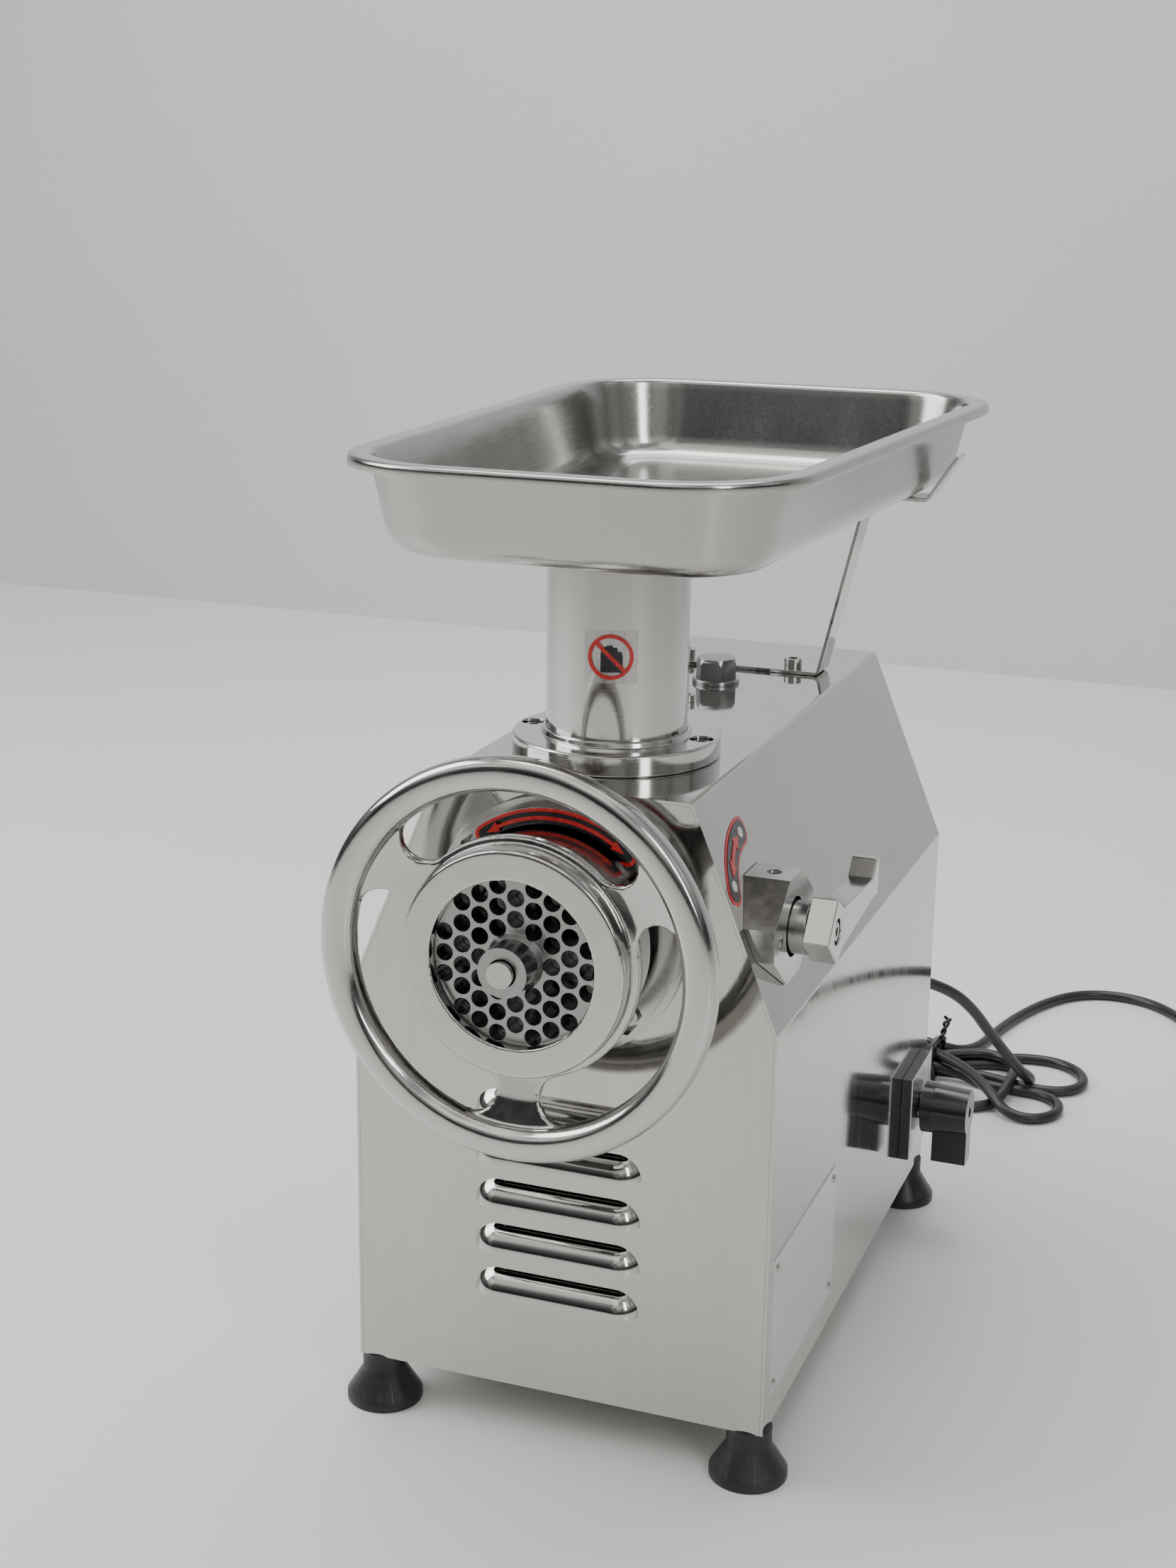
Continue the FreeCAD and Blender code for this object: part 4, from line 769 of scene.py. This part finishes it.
def collar_sticker():
    """A red band with a black field and a red two-way arrow, over the collar."""
    low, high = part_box("head_housing")
    face = low.y

    def place(u, v, height):
        return Vector((u, face - height - 0.00002, HEAD_Z + v))
    decal("turn_sign_edge", scaled(ribbon_outline(49.4, 58.2, 48, 128)), place, "red", 0.00025)
    decal("turn_sign_field", scaled(ribbon_outline(50.9, 56.7, 48.6, 127.4)), place, "ink", 0.00055)
    decal("turn_sign_arrow", scaled(arrow_outline(51.5, 56.1, 50, 126)), place, "red", 0.00085)


def shoulder_sticker():
    """A crescent sign on the right shoulder beside the clamp lever."""
    slope = math.atan2(62.0 - 105.0, 333.0 - 228.5)
    up = Vector((math.sin(slope), 0, math.cos(slope)))
    out = Vector((math.cos(slope), 0, -math.sin(slope)))
    back = Vector((0, 1, 0))
    centre = Vector((0.105, -0.1255, 0.2285)) + up * (0.2745 - 0.2285) / up.z

    def place(u, v, height):
        return centre + back * u + up * v + out * (height + 0.00004)
    decal("lever_sign_edge", scaled(ribbon_outline(31, 45, 92, 152)), place, "red", 0.00025)
    decal("lever_sign_field", scaled(ribbon_outline(32.6, 43.4, 92.5, 151.5)), place, "ink", 0.00055)
    decal("lever_sign_arrow", scaled(arrow_outline(34.4, 41.6, 102, 142, 11)), place, "red", 0.00085)
    for name, angle in (("lever_sign_dot_rear", 95.5), ("lever_sign_dot_front", 148.5)):
        spot = (38 * math.cos(math.radians(angle)), 38 * math.sin(math.radians(angle)))
        outer = arc(spot, 2.6, 0, 345, 23)
        decal(name, scaled(outer), place, "mark", 0.00085)


def tube_sticker():
    """A clear film on the feed tube with a red ring and bar over a plain dark block."""
    radius = 0.0340
    azimuth = math.radians(-76.0)
    centre_z = 0.3865

    def place(u, v, height):
        turn = azimuth + u / radius
        reach = radius + height + 0.00004
        return Vector((reach * math.cos(turn), -0.0975 + reach * math.sin(turn), centre_z + v))
    half = 12.5
    film = [(-half, -half), (half, -half), (half, half), (-half, half)]
    decal("hand_sign_film", scaled(film), place, "film", 0.0002)
    block = [(-4.6, -7.2), (5.6, -7.2), (5.6, 0.5), (5.0, 2.6), (3.2, 2.6), (3.2, 4.4), (1.0, 4.4),
             (1.0, 5.4), (-1.4, 5.4), (-1.4, 4.2), (-3.4, 4.2), (-3.4, 2.0), (-4.6, 2.0)]
    decal("hand_sign_block", scaled(block), place, "ink", 0.0004)
    ring = arc((0, 0), 10.6, 0, 360, 60)[:-1]
    inner = arc((0, 0), 8.9, 0, 360, 60)[:-1]
    for k in range(6):
        first = k * 10
        band = [ring[(first + i) % 60] for i in range(11)]
        band += [inner[(first + i) % 60] for i in range(10, -1, -1)]
        decal(f"hand_sign_ring_{k}", scaled(band), place, "red", 0.0006)
    bar = [(-6.9, 5.6), (-5.6, 6.9), (6.9, -5.6), (5.6, -6.9)]
    decal("hand_sign_bar", scaled(bar), place, "red", 0.0008)


# ------------------------------------------------------------------ finished CAD pieces

FINISH = {
    "clamp_block": ("cast", 0.0007), "clamp_lever": ("cast", 0.0009), "neck_flange": ("tube", 0.0004),
    "head_housing": ("cast", 0.0005), "cutting_plate": ("turned", 0.0002), "feed_tube": ("tube", 0.0003),
    "filler_plug": ("turned", 0.0005), "plug_washer": ("turned", 0.0003),
    "switch_base": ("plastic", 0.0008), "switch_faceplate": ("plate", 0.0002),
    "switch_knob": ("plastic", 0.0012), "nameplate": ("plate", 0.0002),
    "clamp_shaft": ("turned", 0.0004), "motor_mount": ("paint", 0.001),
    "flange_screws": ("screws", 0.0003), "bracket_screws": ("screws", 0.0003),
    "collar_screws": ("screws", 0.0003), "deck_screw": ("screws", 0.0003),
    "clamp_set_screws": ("screws", 0.0002), "lever_screw": ("screws", 0.0003),
    "foot_front_left": ("rubber", 0.0006), "foot_front_right": ("rubber", 0.0006),
    "foot_rear_left": ("rubber", 0.0006), "foot_rear_right": ("rubber", 0.0006),
}


def finish_nodes():
    for node, (look, width) in FINISH.items():
        soften(node, look, width)


# ------------------------------------------------------------------ stage

def make_stage():
    floor = Nodes("pale_floor")
    floor.set(Base_Color=floor.ramp(floor.noise(3.0), (0.72, 0.71, 0.695), (0.76, 0.755, 0.74)), Roughness=0.35)
    bpy.ops.mesh.primitive_plane_add(size=8, location=(0, 0, 0))
    ground = bpy.context.object
    ground.name = "floor"
    ground.data.materials.append(floor.material)
    wall = Nodes("pale_wall")
    wall.set(Base_Color=wall.ramp(wall.noise(1.5), (0.60, 0.61, 0.64), (0.68, 0.69, 0.715)), Roughness=0.4)
    data = mesh_of("backdrop", [(-4, 1.6, 0), (4, 1.6, 0), (4, 1.6, 4), (-4, 1.6, 4)], [(0, 1, 2, 3)], False)
    back = bpy.data.objects.new("backdrop", data)
    bpy.context.scene.collection.objects.link(back)
    data.materials.append(wall.material)


def area_light(name, place, aim, size, power, tint=(1, 1, 1)):
    data = bpy.data.lights.new(name, "AREA")
    data.shape = "RECTANGLE"
    data.size, data.size_y = size
    data.energy = power
    data.color = tint
    lamp = bpy.data.objects.new(name, data)
    lamp.location = place
    lamp.rotation_euler = (Vector(aim) - Vector(place)).to_track_quat("-Z", "Y").to_euler()
    bpy.context.scene.collection.objects.link(lamp)


def make_world():
    """A soft room: bright ceiling, dim patchy walls near the horizon."""
    world = bpy.data.worlds.new("studio")
    world.use_nodes = True
    tree = world.node_tree
    ground = tree.nodes["Background"]
    where = tree.nodes.new("ShaderNodeTexCoord").outputs["Generated"]
    split = tree.nodes.new("ShaderNodeSeparateXYZ")
    tree.links.new(where, split.inputs["Vector"])
    rise = tree.nodes.new("ShaderNodeValToRGB")
    stops = rise.color_ramp
    stops.elements[0].position, stops.elements[0].color = 0.0, (0.05, 0.055, 0.062, 1)
    stops.elements[1].position, stops.elements[1].color = 0.75, (1.0, 1.0, 1.0, 1)
    for place, level in ((0.12, 0.09), (0.32, 0.30), (0.5, 0.75)):
        stop = stops.elements.new(place)
        stop.color = (level * 0.97, level * 0.985, level, 1)
    tree.links.new(split.outputs["Z"], rise.inputs["Fac"])
    patches = tree.nodes.new("ShaderNodeTexNoise")
    patches.inputs["Scale"].default_value = 2.3
    patches.inputs["Detail"].default_value = 2.0
    tree.links.new(where, patches.inputs["Vector"])
    spread = tree.nodes.new("ShaderNodeValToRGB")
    spread.color_ramp.elements[0].position, spread.color_ramp.elements[0].color = 0.42, (0.55, 0.55, 0.55, 1)
    spread.color_ramp.elements[1].position, spread.color_ramp.elements[1].color = 0.60, (1.9, 1.85, 1.75, 1)
    tree.links.new(patches.outputs["Fac"], spread.inputs["Fac"])
    mix = tree.nodes.new("ShaderNodeMix")
    mix.data_type = "RGBA"
    mix.blend_type = "MULTIPLY"
    mix.inputs["Factor"].default_value = 1.0
    tree.links.new(rise.outputs["Color"], mix.inputs["A"])
    tree.links.new(spread.outputs["Color"], mix.inputs["B"])
    tree.links.new(mix.outputs["Result"], ground.inputs["Color"])
    ground.inputs["Strength"].default_value = 0.75
    bpy.context.scene.world = world


def make_lights():
    make_world()
    area_light("window_left", (-1.7, -0.5, 1.5), (0, 0, 0.2), (1.3, 1.5), 30)
    area_light("overhead", (-0.2, 0.5, 2.1), (0, 0.2, 0), (1.6, 1.2), 26)
    area_light("strip_right", (1.5, -1.3, 1.2), (0, 0, 0.3), (0.35, 1.3), 9)


# ------------------------------------------------------------------ run

make_camera()
LOOKS = make_materials()
dress_nodes(LOOKS)
make_cord()
make_tray()
make_handwheel()
make_bracket()
finish_nodes()
collar_sticker()
shoulder_sticker()
tube_sticker()
make_stage()
make_lights()
